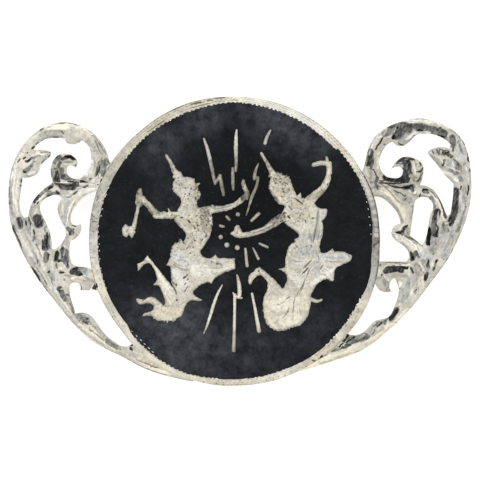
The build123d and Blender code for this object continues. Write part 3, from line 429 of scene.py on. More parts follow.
RIGHT_ENGRAVING: list[Row] = [
    (45, 10, 355, 432, 392, 412), (30, 10, 285, 335, 310, 300),
    (90, 13, 437, 315, 470, 290, 495, 266), (60, 11, 393, 258, 420, 225),
    (60, 22, 355, 208, 368, 200), (85, 18, 385, 186, 405, 166), (65, 13, 508, 158, 520, 143),
    (80, 18, 562, 166, 580, 166), (50, 13, 458, 150, 478, 140), (20, 8, 690, 530, 620, 552),
    (30, 8, 330, 138, 250, 105, 170, 68, 70, 55), (25, 8, 280, 120, 200, 80, 110, 45),
    (30, 26, 605, 220, 600, 160, 585, 70, 570, -10), (45, 8, 618, 200, 612, 130, 598, 50),
    (40, 10, 555, 40, 560, -5), (25, 10, 600, -60, 590, -90),
    (30, 8, 385, -115, 410, -140, 450, -152, 510, -145), (25, 8, 400, -85, 430, -110, 480, -125),
    (20, 10, 640, -105, 700, -130, 780, -125), (25, 10, 650, -140, 720, -150, 780, -150),
    (92, 14, 538, -192, 493, -236), (50, 9, 562, -138, 510, -182), (35, 9, 548, -160, 510, -200),
    (40, 13, 550, -200, 533, -240, 520, -270), (55, 13, 645, -172, 623, -205),
    (40, 10, 515, -270, 500, -320, 472, -355, 455, -390), (35, 10, 508, -300, 495, -345),
    (20, 10, 600, -220, 560, -300), (20, 10, 680, -240, 620, -245),
    (35, 10, 442, -400, 430, -450, 426, -520, 425, -590), (70, 13, 400, -402, 374, -426),
    (35, 12, 397, -480, 378, -530, 350, -560), (25, 10, 372, -440, 340, -455, 290, -470),
    (20, 12, 470, -480, 480, -540), (15, 10, 300, -500, 250, -520),
    (15, 10, 330, -560, 290, -600), (15, 10, 260, -380, 230, -420),
    (80, 14, 170, -212, 182, -220), (20, 10, 220, -250, 300, -320), (20, 8, 245, 545, 290, 470),
    (30, 12, 545, -420, 560, -400), (55, 12, 362, 361, 364, 350), (35, 15, 353, 303, 360, 296),
    (40, 11, 338, 415, 364, 426, 389, 412), (30, 12, 375, 277, 404, 292),
    (20, 10, 273, 328, 302, 299), (50, 19, 346, 183, 360, 201), (40, 22, 309, 154, 324, 183),
    (45, 15, 364, 208, 375, 198), (45, 12, 513, 154, 520, 132), (25, 12, 556, 132, 578, 139),
    (18, 10, 426, 219, 462, 198, 513, 201, 542, 241), (14, 10, 447, 248, 491, 227, 534, 256),
    (20, 11, 447, 176, 491, 161, 534, 176), (20, 11, 418, 139, 462, 110),
    (30, 13, 611, 227, 607, 176, 596, 110, 585, 52, 571, -13),
    (20, 10, 625, 139, 618, 67, 600, -13), (15, 12, 542, 96, 549, 9),
    (25, 9, 113, 56, 200, 74, 259, 103, 317, 143), (20, 9, 128, 41, 200, 52, 259, 81),
    (20, 9, 397, -107, 426, -137, 469, -155), (16, 9, 382, -129, 411, -158, 455, -176),
    (20, 9, 404, -195, 447, -209, 498, -195, 534, -166), (16, 9, 411, -224, 455, -231, 498, -216),
    (14, 9, 433, -86, 476, -122, 520, -122), (16, 9, 418, -253, 476, -245),
    (14, 9, 404, -289, 462, -282), (50, 10, 498, -202, 527, -169, 560, -137),
    (35, 13, 531, -238, 545, -213), (35, 11, 607, -100, 614, -137),
    (20, 10, 643, -231, 672, -260, 694, -282), (20, 10, 636, -195, 680, -216, 702, -253),
    (18, 10, 665, -187, 709, -195), (14, 10, 658, -115, 716, -122, 781, -115),
    (14, 10, 658, -151, 723, -151, 789, -129), (30, 12, 818, -97, 840, -115),
    (12, 10, 651, -97, 716, -89), (35, 11, 513, -275, 498, -311, 484, -354, 469, -391),
    (30, 10, 491, -318, 476, -347), (30, 10, 462, -369, 455, -405),
    (25, 11, 440, -398, 433, -442, 429, -507), (30, 11, 397, -500, 386, -521),
    (22, 11, 353, -554, 375, -521), (20, 11, 331, -449, 367, -434),
    (13, 10, 280, -521, 353, -478), (13, 10, 259, -565, 331, -514),
    (12, 10, 455, -449, 458, -558), (10, 10, 484, -420, 484, -543),
    (13, 10, 346, -616, 382, -536), (12, 10, 418, -558, 411, -616),
    (12, 10, 229, -427, 302, -412), (12, 10, 222, -478, 309, -456),
    (12, 10, 295, -587, 353, -550), (12, 10, 505, -427, 513, -514),
    (15, 11, 317, -369, 360, -398), (14, 10, 404, -318, 455, -333),
    (14, 10, 520, -318, 549, -289), (20, 10, 193, -275, 215, -311),
    (15, 10, 259, -340, 288, -383), (80, 18, 357, 362), (80, 16, 342, 325), (60, 16, 676, 413),
    (60, 15, 344, 325), (55, 16, 475, 185), (55, 14, 350, 382), (50, 18, 480, -75),
    (50, 14, 335, 430), (50, 13, 357, 379), *dots(50, 12, 476, 183, 675, 408), (45, 16, 293, 480),
    (40, 24, 330, 185), (40, 15, 338, 161), *dots(40, 14, 290, 455, 320, 163), (40, 13, 560, -33),
    (35, 16, 300, 168), *dots(35, 14, 318, 478, 272, 430, 280, 375, 445, -30, 503, -92, 555, -30),
    *dots(35, 12, 270, 400, 315, 325, 20, 58, 455, -45, 458, 143, 643, 365, 451, -38, 502, -93),
    (30, 22, 638, 368), (30, 17, 280, 132), (30, 15, 502, 292), (30, 14, 310, 440),
    (25, 15, 629, 386), (25, 14, 530, 240), (20, 15, 520, 270),
]

# Soft shades on the dancers and the bolts: tone, warmth, width, then x and y.
LEFT_DANCER_SHADES: list[Row] = [
    (25, 7, 36, -497, 604, -439, 503), (22, 5, 58, -410, 444, -424, 372),
    (20, 6, 73, -351, 415, -351, 328), (30, 9, 51, -279, 401, -272, 306),
    (20, 6, 65, -351, 256, -337, 198), (26, 9, 87, -351, 139, -279, 110),
    (28, 8, 73, -206, 227, -206, 139), (22, 7, 65, -221, 67, -235, 9),
    (26, 7, 65, -322, 23, -322, -35), (17, 1, 116, -410, -107, -366, -151),
    (12, 3, 87, -424, -224, -366, -311), (12, 5, 116, -279, -209, -206, -209),
    (22, 4, 51, -177, -151, -90, -166), (12, 7, 44, -141, -216, -17, -180),
    (14, 7, 73, -526, -311, -453, -427), (22, 8, 36, -591, -173, -664, -151),
    (16, 10, 102, -540, -514, -424, -521), (20, 10, 58, -613, -434, -686, -434),
    (26, 5, 51, -671, 67, -635, 212), (26, 6, 51, -627, 314, -613, 372),
    (24, 6, 44, -598, 285, -526, 198), (22, 7, 51, -511, 198, -424, 198),
    (20, 4, 44, -134, 241, -32, 256), (28, 8, 44, 12, 285, 84, 350, 113, 415),
    (64, 8, 60, 66, 312, 90, 340), (46, 8, 44, 55, 400, 66, 455),
    (44, 9, 54, -690, 270, -690, 370), (36, 8, 60, -650, 260, -560, 205),
    (36, 9, 90, -225, 200, -205, 90), (36, 8, 26, -270, 248, -150, 248),
    (32, 9, 60, -440, 170, -410, 120), (8, 7, 50, -620, -120, -480, -330),
    (8, 7, 40, -560, -330, -540, -400), (30, 8, 44, -290, 260, -290, 200),
    (45, 9, 30, 35, 70, 60, 90),
]
RIGHT_DANCER_SHADES: list[Row] = [
    (30, 8, 36, 229, 590, 266, 517), (32, 9, 80, 309, 444, 375, 444),
    (28, 10, 87, 317, 357, 389, 357), (24, 10, 87, 447, 270, 520, 270),
    (24, 9, 73, 447, 183, 534, 183), (18, 6, 73, 462, 110, 534, 96),
    (20, 3, 73, 643, 212, 622, 154), (26, 1, 73, 505, 23, 607, 38),
    (28, 1, 87, 476, -64, 578, -78), (22, 2, 73, 636, -122, 723, -122),
    (20, 2, 44, 767, -100, 825, -122), (18, 2, 58, 433, -151, 520, -151),
    (14, 4, 87, 433, -253, 491, -311), (22, 1, 58, 593, -166, 578, -253),
    (16, 2, 58, 651, -209, 680, -253), (10, 7, 131, 302, -456, 447, -456),
    (10, 8, 102, 360, -572, 447, -558), (16, 10, 51, 237, -427, 237, -558, 273, -616),
    (14, 9, 51, 505, -369, 520, -485), (16, 9, 58, 259, -354, 200, -253),
    (18, 9, 44, 142, -253, 84, -354), (30, 5, 36, 200, 67, 302, 125),
    (22, 7, 36, 84, 38, 171, 45), (30, 8, 36, 12, 67, 26, 96), (20, 9, 51, 549, 314, 636, 386),
    (16, 9, 44, 680, 444, 694, 517), (22, 8, 36, 607, 575, 665, 546),
    (30, 9, 36, 636, 379, 651, 365), (48, 8, 60, 350, 175, 290, 150),
    (40, 6, 40, 290, 160, 200, 110), (42, 9, 44, 245, 500, 240, 380, 310, 290),
    (42, 10, 50, 310, 510, 400, 480), (32, 9, 60, 480, 300, 620, 340),
    (10, 3, 40, 560, -310, 760, -180),
]
BOLT_SHADES: list[Row] = [
    (38, 8, 500, -100, 420, 180, 400), (34, 9, 300, -60, 120, 80, 160),
    (8, 6, 420, -160, -460, 120, -460), (20, 3, 120, -200, 700, -190, 640),
    (14, 6, 90, 10, 780, 10, 700),
]

# Punched patches on the dancers: tone, how many marks, x, y and the two radii.
LEFT_PUNCHES: list[Row] = [
    (62, 44, -222, 142, 62, 96), (45, 20, -320, 120, 80, 90), (50, 16, -490, 200, 110, 24),
    (45, 22, -330, 330, 80, 90), (60, 12, -262, 350, 26, 70), (45, 16, -260, 30, 70, 50),
    (40, 14, -360, -20, 70, 50), (45, 10, -600, 290, 60, 30), (28, 12, -420, -100, 50, 60),
    (24, 12, -300, -120, 120, 60), (26, 12, -450, -480, 120, 60), (30, 8, -120, -140, 90, 30),
    (40, 10, -60, 265, 90, 20), (50, 8, -400, 420, 30, 60), (22, 10, -300, -220, 120, 50),
]
RIGHT_PUNCHES: list[Row] = [
    (58, 56, 322, 405, 88, 100), (60, 22, 330, 165, 50, 36), (45, 28, 460, 200, 120, 80),
    (40, 14, 500, -20, 90, 50), (30, 16, 460, -90, 90, 50), (40, 8, 130, 60, 120, 18),
    (40, 10, 560, 340, 100, 40), (26, 14, 560, -200, 90, 60), (20, 16, 340, -480, 120, 100),
    (45, 8, 150, -215, 60, 30), (40, 12, 420, 300, 60, 30), (24, 10, 720, -120, 80, 30),
]

# Toothed hems of the dancers: depth of the teeth in hundredths of a millimetre, width of
# the band, then x and y.
LEFT_HEMS: list[Row] = [
    (13, 60, -640, -520, -500, -590, -400, -560), (11, 60, -440, 540, -440, 380),
    (13, 60, -250, 420, -250, 300), (11, 50, -560, 215, -400, 225), (9, 60, -160, 200, -170, 90),
    (11, 60, -460, -150, -450, -50, -380, 10), (10, 50, -720, 300, -690, 360),
]
RIGHT_HEMS: list[Row] = [
    (14, 60, 195, -390, 190, -540, 260, -630, 400, -620, 500, -520, 545, -420),
    (11, 60, 245, 500, 235, 380, 300, 290), (11, 60, 310, 510, 410, 470, 440, 400),
    (9, 50, 470, 290, 560, 310), (10, 50, 600, -290, 700, -270), (9, 50, 640, 400, 700, 480),
]

# The rim by angle: degrees, its inner and outer edge, tone, then in tenths its warmth, how
# strong its engraved lines and its specks are, and how far it melts into the wing.
RIM_COURSE: list[Row] = [
    (0, 948, 1003, 39, 5, 2, 7, 0), (6, 955, 1004, 39, 4, 4, 5, 0),
    (15, 961, 1010, 34, 4, 5, 3, 0), (20, 961, 1009, 32, 4, 7, 3, 0),
    (26, 960, 1006, 26, 4, 9, 3, 0), (30, 958, 1000, 0, 7, 8, 3, 0),
    (34, 957, 1000, -3, 7, 8, 3, 0), (41.5, 956, 998, -2, 8, 8, 3, 0),
    (42.5, 941, 998, 3, 7, 8, 2, 0), (52, 941, 998, 1, 5, 7, 2, 0), (60, 945, 998, 0, 4, 5, 2, 0),
    (72, 948, 998, 2, 3, 4, 2, 0), (83, 953, 997, 0, 6, 4, 2, 0), (90, 957, 997, -3, 8, 6, 2, 0),
    (98, 953, 1001, 5, 9, 10, 3, 0), (106, 948, 1005, 13, 8, 9, 4, 0),
    (113, 945, 1006, 15, 9, 6, 3, 0), (121, 943, 1004, 15, 10, 8, 4, 0),
    (131, 945, 1001, 17, 9, 6, 4, 0), (140, 942, 1004, 19, 7, 3, 5, 0),
    (149, 938, 1008, 21, 8, 1, 6, 0), (156, 941, 1008, 22, 6, 1, 6, 0),
    (163, 944, 1008, 23, 4, 0, 8, 0), (172, 943, 1005, 21, 5, 0, 10, 0),
    (180, 941, 1001, 13, 3, 0, 8, 0), (190, 944, 1003, 12, 6, 0, 6, 0),
    (200, 942, 1000, 8, 8, 0, 5, 0), (210, 938, 995, 15, 7, 0, 5, 0),
    (218, 934, 991, 11, 7, 0, 4, 0), (221, 948, 994, 5, 7, 0, 3, 1),
    (225, 957, 1000, 10, 6, 1, 2, 6), (232, 961, 1000, 10, 7, 1, 2, 10),
    (242, 968, 1000, 6, 8, 1, 2, 10), (250, 969, 1000, 4, 9, 1, 3, 10),
    (257, 960, 1000, 6, 9, 3, 5, 5), (264, 953, 1000, 8, 9, 8, 5, 0),
    (272, 950, 996, 7, 8, 9, 3, 0), (280, 951, 998, 5, 7, 6, 4, 0),
    (288, 949, 1000, 6, 7, 3, 5, 6), (296, 951, 1000, 12, 8, 2, 5, 10),
    (303, 953, 1000, 14, 9, 2, 5, 4), (312, 954, 1004, 14, 9, 3, 6, 0),
    (320, 951, 1008, 14, 8, 3, 6, 0), (328, 952, 1014, 13, 9, 3, 6, 0),
    (335, 954, 1015, 13, 7, 2, 5, 0), (341, 963, 1012, 20, 2, 1, 4, 0),
    (347, 961, 1011, 23, 1, 1, 3, 0), (353, 950, 1007, 25, 2, 1, 4, 0),
    (357, 947, 1002, 30, 6, 1, 8, 0),
]

# Marks on the rim: tone, width, then degrees and disc share of each point.
RIM_MARKS: list[Row] = [
    (60, 10, 93.8, 991, 97.5, 993), (70, 10, 99, 985, 101, 988), (80, 12, 103.5, 984, 105.5, 988),
    (80, 10, 105.5, 990, 107.5, 988), (60, 10, 104.5, 994, 105.5, 980),
    (45, 10, 88.5, 973, 91.5, 974), (40, 8, 94, 970, 99, 972), (40, 8, 100, 965, 108, 967),
    (45, 8, 108, 1003, 121, 1003), (50, 10, 120, 960, 128.5, 962),
    (50, 12, 147, 1000, 148.5, 994), (55, 16, 161.7, 992, 162.8, 984, 163.6, 990),
    (95, 16, 197.2, 998, 198.4, 997), (90, 12, 304.4, 1004, 303.8, 994, 303.2, 985),
    (95, 20, 306.6, 997, 307.4, 996), (80, 14, 357.6, 963, 358.8, 963), (85, 12, 211.8, 991),
    *dots(80, 12, 1.2, 985, 7.4, 961), *dots(75, 14, 282.9, 986, 299.8, 996), (75, 12, 95, 991),
    (70, 12, 355.3, 964), (65, 14, 262.9, 990), (60, 12, 305.6, 996), (60, 10, 171.4, 993),
    *dots(55, 12, 183.5, 995, 265.6, 989), *dots(50, 14, 257.6, 994, 343, 971, 357, 982),
    (50, 12, 230.5, 996), (50, 10, 298.3, 989), (45, 14, 122.8, 981), *dots(45, 12, 126, 981,
    290.7, 985), *dots(40, 14, 156.5, 992, 327.8, 986, 330.6, 989, 354, 985),
    *dots(40, 12, 142.3, 984, 117.5, 980, 268.8, 989, 285.8, 984, 288, 983),
    *dots(40, 10, 172.3, 984, 205.8, 988), (35, 14, 358.5, 990), *dots(35, 12, 5, 987, 115, 978,
    279.6, 990, 310.4, 993, 341.5, 992), *dots(35, 10, 201.8, 988, 202.5, 972, 207, 968),
    *dots(30, 12, 131, 980, 136, 979, 214.5, 972, 275, 987, 316, 990), (30, 10, 176, 985),
]

# Pale blocks along the rim's right side, in degrees.
RIM_BLOCKS = (2.4, 4.5, 6.7, 8.6, 11.8, 15, 17.3, 19.2, 20.6, 21.9, 23.2, 24.3, 25.5, 26.8)


@dataclass(frozen=True)
class BroochSizes:
    """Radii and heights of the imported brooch, in millimetres."""

    disc_x: float
    disc_radius: float
    field_radius: float
    back_z: float
    recess_z: float
    niello_z: float
    rim_z: float
    figure_z: float
    scroll_z: float

    @classmethod
    def from_nodes(cls, nodes: dict[str, Thing]) -> "BroochSizes":
        """Read the sizes from the frame.

        Args:
            nodes: the frame's CAD nodes by name.

        Returns:
            The sizes that every piece is built on.
        """
        niello, silver = mesh_points(nodes["niello_field"]), mesh_points(nodes["silver_body"])
        disc_x = (niello[:, 0].min() + niello[:, 0].max()) / 2
        field_radius = np.hypot(niello[:, 0] - disc_x, niello[:, 1]).max()
        out = np.hypot(silver[:, 0] - disc_x, silver[:, 1])
        at_field = np.abs(out - field_radius) < 0.01
        return cls(
            disc_x=disc_x,
            disc_radius=np.abs(silver[:, 1]).max(),
            field_radius=field_radius,
            back_z=silver[:, 2].min(),
            recess_z=niello[:, 2].min(),
            niello_z=niello[:, 2].max(),
            rim_z=silver[at_field, 2].max(),
            figure_z=silver[out < field_radius * 0.98, 2].max(),
            scroll_z=silver[:, 2].max(),
        )

    def polar(self, out: Number, turn: Number) -> tuple[Number, Number]:
        """Place at a distance from the disc's middle and a turn from +X in radians."""
        return self.disc_x + out * np.cos(turn), out * np.sin(turn)

    def field_place(self, x: float, y: float) -> tuple[float, float]:
        """Turn shares of the niello field's radius into a place in millimetres."""
        return self.disc_x + x * self.field_radius, y * self.field_radius


@dataclass(frozen=True)
class Chart:
    """How the whole numbers of a piece's tables become millimetres."""

    place: Callable[[float, float], tuple[float, float]]  # from shares to millimetres
    unit: float  # millimetres in one share

    def point(self, x: float, y: float, width: float) -> Row:
        """Turn a table's x, y and width into millimetres."""
        return (*self.place(x * THOUSANDTH, y * THOUSANDTH), width * THOUSANDTH * self.unit)

    def stroke(self, width: float, *places: float) -> list[Row]:
        """Turn a table's width and pairs of x and y into points with their width."""
        return [self.point(x, y, width) for x, y in zip(places[::2], places[1::2])]


def strewn_dots(spots: Iterable[Row], seed: int) -> list[Row]:
    """Strew fine punch marks over some round patches.

    Args:
        spots: rows of a punches table.
        seed: start of the random numbers.

    Returns:
        Rows of a cuts table.
    """
    hand = np.random.default_rng(seed)
    rows = []
    for tone, count, x, y, wide, high in spots:
        for _ in range(count):
            turn, out = hand.uniform(0, 2 * pi), sqrt(hand.uniform())
            rows.append((tone * hand.uniform(0.5, 1.3), hand.uniform(10, 15),
                         x + wide * out * cos(turn), y + high * out * sin(turn)))
    return rows


def mesh_points(node: Thing) -> np.ndarray:
    """Read every vertex of a node.

    Args:
        node: a CAD node.

    Returns:
        x, y and z in millimetres.
    """
    flat = np.empty(len(node.data.vertices) * 3, np.float32)
    node.data.vertices.foreach_get("co", flat)
    return flat.reshape(-1, 3).astype(float) / MM


def smooth_step(value: Number) -> Number:
    """Ease a value from 0 to 1 with no kink at either end."""
    share = np.clip(value, 0, 1)
    return share * share * (3 - 2 * share)


def value_noise(x: np.ndarray, y: np.ndarray, size: float, seed: int) -> np.ndarray:
    """Smooth noise from -1 to 1 that is the same in every run.

    Args:
        x: places across, in millimetres.
        y: places along, in millimetres.
        size: length of one wave, in millimetres.
        seed: which noise.

    Returns:
        Its value at each place.
    """
    table = np.random.default_rng(seed).uniform(-1, 1, (64, 64))
    column, row = np.floor(x / size).astype(int), np.floor(y / size).astype(int)
    across, along = smooth_step(x / size - column), smooth_step(y / size - row)
    corners = [table[(column + dx) % 64, (row + dy) % 64] for dy in (0, 1) for dx in (0, 1)]
    low = corners[0] + (corners[1] - corners[0]) * across
    high = corners[2] + (corners[3] - corners[2]) * across
    return low + (high - low) * along


class Course(IntEnum):
    """Columns of the rim's course table."""

    DEGREES = 0
    INNER = 1
    OUTER = 2
    TONE = 3
    WARMTH = 4
    LINES = 5
    SPECKS = 6
    MERGE = 7


def rim_course(angle: Number, column: Course) -> Number:
    """Follow one column of the rim's course table round the disc.

    Args:
        angle: turn from the +X direction, in radians.
        column: which column.

    Returns:
        Its value at each angle, in shares.
    """
    table = RIM_COURSE * np.array([1, THOUSANDTH, THOUSANDTH, HUNDREDTH, *4 * [TENTH]])
    return np.interp(np.degrees(angle) % 360, table[:, Course.DEGREES], table[:, column],
                     period=360)


def flat_outlines(node: Thing, height: float, upward: bool) -> list[np.ndarray]:
    """Find the closed outlines of a node's flat face.

    Args:
        node: a CAD node, whose mesh is loose triangles.
        height: the height of the face, in millimetres.
        upward: whether the face looks up.

    Returns:
        One array of x, y for each outline, with the solid on its left.
    """
    points = mesh_points(node)
    corners = np.empty(len(node.data.polygons) * 3, np.int32)
    node.data.polygons.foreach_get("vertices", corners)
    corners = corners.reshape(-1, 3)
    level = np.all(np.abs(points[corners][:, :, 2] - height) < 0.001, axis=1)
    places, index = np.unique(np.round(points[:, :2], 4), axis=0, return_inverse=True)
    corners = index.ravel()[corners[level]]
    a, b, c = (places[corners[:, k]] for k in range(3))
    area = (b - a)[:, 0] * (c - a)[:, 1] - (b - a)[:, 1] * (c - a)[:, 0]
    corners = corners[area > 0] if upward else corners[area < 0][:, ::-1]
    edges = {(int(t[k]), int(t[(k + 1) % 3])) for t in corners for k in range(3)}
    following: dict[int, list[int]] = {}
    for start, end in sorted(edges):
        if (end, start) not in edges:
            following.setdefault(start, []).append(end)
    outlines = []
    while following:
        loop = [next(iter(following))]
        while len(loop) == 1 or loop[-1] != loop[0]:
            ends = following[loop[-1]]
            if len(ends) == 1:
                del following[loop[-1]]
            loop.append(ends.pop())
        outlines.append(places[loop[:-1]])
    return outlines


def outline_area(outline: np.ndarray) -> float:
    """Area inside one outline, above 0 where it turns to the left."""
    x, y = outline[:, 0], outline[:, 1]
    return float(np.sum(x * np.roll(y, -1) - y * np.roll(x, -1)) / 2)


def closeness(x: np.ndarray, y: np.ndarray, points: Sequence[Row],
              taper: float = 0.0) -> np.ndarray:
    """Tell how near each place is to the middle line of a stroke.

    Args:
        x: places across, in millimetres.
        y: places along, in millimetres.
        points: x, y and width of the stroke's points; a single point is a round dot.
        taper: share of its width that the stroke loses towards its ends.

    Returns:
        1 on the middle line, falling to 0 at the stroke's edge.
    """
    best = np.zeros_like(x)
    pairs = list(zip(points, points[1:] or points))
    total = sum(hypot(end[0] - start[0], end[1] - start[1]) for start, end in pairs)
    run = 0.0
    for (x0, y0, w0), (x1, y1, w1) in pairs:
        dx, dy = x1 - x0, y1 - y0
        length = hypot(dx, dy)
        t = np.clip(((x - x0) * dx + (y - y0) * dy) / length**2, 0, 1) if length else 0 * x
        gap = np.hypot(x - x0 - t * dx, y - y0 - t * dy)
        width = w0 + t * (w1 - w0)
        if taper and length:
            width = width * (1 - taper * np.abs(2 * (run + t * length) / total - 1) ** 3)
        best = np.maximum(best, 1 - 2 * gap / width)
        run += length
    return best


class Relief:
    """Height and colour of a piece's face on a fine square grid, in millimetres.

    Every array has a row for each y and a column for each x.
    """

    border: int = 4  # grid cells left round the outlines
    taper: float = 0.6  # share of its width that a cut loses towards its ends
    shade_fill: float = 2.4  # how soon a shade, a cut and a ridge are full from their edge
    cut_fill: float = 1.6
    ridge_fill: float = 1.4
    cut_tone: float = 0.82  # in a cut of full tone: tarnish, on wings also painted reflection
    streaky: float = 0.28  # how much a shade's tone varies along the streaks
    painted_highlight: float = 0.9  # tarnish taken from a full ridge as a painted highlight

    def __init__(self, outlines: list[np.ndarray], chart: Chart, step: float, reach: float,
                 sway: float) -> None:
        """Lay the grid over some outlines and measure how deep in the metal each point is.

        Args:
            outlines: closed outlines with the metal on their left.
            chart: how the piece's tables become millimetres.
            step: spacing of the grid.
            reach: largest distance from an edge that is of use.
            sway: how far a charted stroke strays from its place, as a hand's does.
        """
        corners = np.vstack(outlines)
        low, high = corners.min(axis=0) - self.border * step, corners.max(axis=0)
        high = high + self.border * step
        self.chart, self.step, self.sway = chart, step, sway
        self.xs = np.arange(low[0], high[0] + step, step)
        self.ys = np.arange(low[1], high[1] + step, step)
        self.x, self.y = np.meshgrid(self.xs, self.ys)
        self.inset = self._inset(outlines, reach)
        self.height, self.tarnish, self.warmth, self.carved = np.zeros((4, *self.x.shape))
        self.hand_x = self.x + sway * self.noise(0.42, 3) + 0.5 * sway * self.noise(0.16, 6)
        self.hand_y = self.y + sway * self.noise(0.42, 4) + 0.5 * sway * self.noise(0.16, 7)
        along, across = (self.y + 0.4 * self.x) / 2.6, self.x - 0.4 * self.y
        self.streaks = value_noise(across, along, 0.17, 5)

    def noise(self, size: float, seed: int) -> np.ndarray:
        """Smooth noise over the grid, with waves of some size."""
        return value_noise(self.x, self.y, size, seed)

    def window(self, points: Sequence[Row], margin: float) -> Part:
        """Find the part of the grid that lies round some points.

        Args:
            points: rows that start with x and y.
            margin: how far beyond them it reaches.

        Returns:
            Its rows and its columns.
        """
        places = np.array(points)[:, :2]
        low, high = places.min(axis=0) - margin, places.max(axis=0) + margin
        rows = np.searchsorted(self.ys, (low[1], high[1]))
        columns = np.searchsorted(self.xs, (low[0], high[0]))
        return slice(*rows), slice(*columns)

    def _inset(self, outlines: list[np.ndarray], reach: float) -> np.ndarray:
        """Measure how deep in the metal each point is.

        Args:
            outlines: closed outlines with the metal on their left.
            reach: largest distance that is of use.

        Returns:
            Distance to the nearest edge, above 0 in the metal and below 0 outside it.
        """
        gap = np.full(self.x.shape, reach)
        crossings = np.zeros((self.x.shape[0], self.x.shape[1] + 1), np.int32)
        for outline in outlines:
            for start, end in zip(outline, np.roll(outline, -1, axis=0)):
                part = self.window([start, end], reach)
                run = [(*start, 2.0), (*end, 2.0)]
                near = 1 - closeness(self.x[part], self.y[part], run)
                gap[part] = np.minimum(gap[part], near)
                if start[1] == end[1]:
                    continue
                rows = np.arange(*np.searchsorted(self.ys, sorted((start[1], end[1]))))
                share = (self.ys[rows] - start[1]) / (end[1] - start[1])
                across = start[0] + share * (end[0] - start[0])
                np.add.at(crossings, (rows, np.searchsorted(self.xs, across)), 1)
        inside = np.cumsum(crossings, axis=1)[:, :-1] % 2 == 1
        return np.where(inside, gap, -gap)

    def drop_slivers(self, width: float) -> None:
        """Take away metal that is thinner than some width all along.

        Args:
            width: the width, in millimetres.
        """
        solid = self.inset > width / 2
        for _ in range(round(2 * width / self.step)):
            grown = solid.copy()
            for here, beside in ((np.s_[1:], np.s_[:-1]), (np.s_[:, 1:], np.s_[:, :-1])):
                grown[here] |= solid[beside]
                grown[beside] |= solid[here]
            solid = grown
        self.inset = np.where(solid, self.inset, -np.abs(self.inset) - 0.001)

    def _strokes(self, rows: Iterable[Row], heads: int = 1) -> Iterator[tuple]:
        """Go through the strokes of a table.

        Args:
            rows: numbers of one's own, then the width, and x and y of each point.
            heads: how many of those numbers there are.

        Yields:
            Those numbers in shares, the part of the grid under the stroke, and how near
            each of its points is to the stroke's middle line.
        """
        for row in rows:
            points = self.chart.stroke(*row[heads:])
            part = self.window(points, points[0][2] + 2 * self.sway)
            taper = self.taper if heads == 1 else 0
            near = closeness(self.hand_x[part], self.hand_y[part], points, taper)
            shares = zip(row[:heads], (HUNDREDTH, TENTH))
            yield [value * share for value, share in shares], part, near

    def shade(self, rows: Iterable[Row], depth: float) -> None:
        """Lay soft tones, on the wings painted shade, and sink the face a little where they are
        dark.

        Args:
            rows: rows of a shades table.
            depth: how deep a black shade is sunk.
        """
        for (tone, warmth), part, near in self._strokes(rows, 2):
            amount = smooth_step(near * self.shade_fill)
            self.height[part] -= depth * tone * smooth_step(near)
            tone = tone * (1 + self.streaky * self.streaks[part])
            self.tarnish[part] += (tone - self.tarnish[part]) * amount
            self.warmth[part] += (warmth - self.warmth[part]) * amount

    def cut(self, rows: Iterable[Row]) -> None:
        """Sink strokes in the face and darken them: tarnish, and on the wings painted reflection.

        Args:
            rows: rows of a cuts table.
        """
        for (tone,), part, near in self._strokes(rows):
            self.carved[part] = np.maximum(self.carved[part], tone * near)
            dark = self.cut_tone * tone * smooth_step(near * self.cut_fill)
            self.tarnish[part] += dark * np.clip(1 - self.tarnish[part], 0, 1)

    def fray(self, rows: Iterable[Row]) -> None:
        """Cut fine teeth in the edge along some bands.

        Args:
            rows: rows of a hems table.
        """
        teeth = 0.2 - self.noise(0.19, 8)
        for (depth,), part, near in self._strokes(rows):
            self.inset[part] -= depth * smooth_step(near * 2) * teeth[part]

    def raise_strokes(self, rows: Iterable[Row], rise: float) -> None:
        """Lift rounded ridges out of the face and paint highlights on them.

        Args:
            rows: rows of a lights table.
            rise: full height of a ridge.
        """
        for (share,), part, near in self._strokes(rows):
            near = smooth_step(near * self.ridge_fill)
            self.height[part] += rise * share * near
            self.tarnish[part] *= 1 - self.painted_highlight * share * near

    def facets(self, size: float, tilt: float, tone: float, seed: int) -> None:
        """Break the face into small flats that lean a little in different directions.

        Args:
            size: spacing of the flats.
            tilt: rise of a leaning flat over its own size.
            tone: how much one flat's colour differs from the next.
            seed: which pattern.
        """
        table = np.random.default_rng(seed).uniform(-1, 1, (64, 64, 5))
        u, v = self.hand_x / size, self.hand_y / size
        column, row = np.floor(u).astype(int), np.floor(v).astype(int)
        best = np.full(u.shape, 9.0)
        lean, shade = np.zeros((2, *u.shape))
        for across, along in product((-1, 0, 1), repeat=2):
            cell = table[(column + across) % 64, (row + along) % 64]
            du = u - column - across - 0.5 - 0.4 * cell[..., 0]
            dv = v - row - along - 0.5 - 0.4 * cell[..., 1]
            gap = du * du + dv * dv
            lean = np.where(gap < best, cell[..., 2] * du + cell[..., 3] * dv, lean)
            shade = np.where(gap < best, cell[..., 4], shade)
            best = np.minimum(best, gap)
        self.height += tilt * lean
        self.tarnish += tone * shade

    def band_closeness(self, bands: Iterable[Sequence[Row]], spread: float) -> np.ndarray:
        """How near each point is to the middle line of any of several bands.

        Args:
            bands: rows of x, y and width for each band.
            spread: how much wider than its rows say a band is taken.

        Returns:
            1 on a middle line, 0 at an edge and beyond.
        """
        best = np.zeros_like(self.x)
        for band in bands:
            points = [self.chart.point(x, y, width * spread) for x, y, width in band]
            part = self.window(points, self.chart.unit * 0.1)
            best[part] = np.maximum(best[part], closeness(self.x[part], self.y[part], points))
        return best


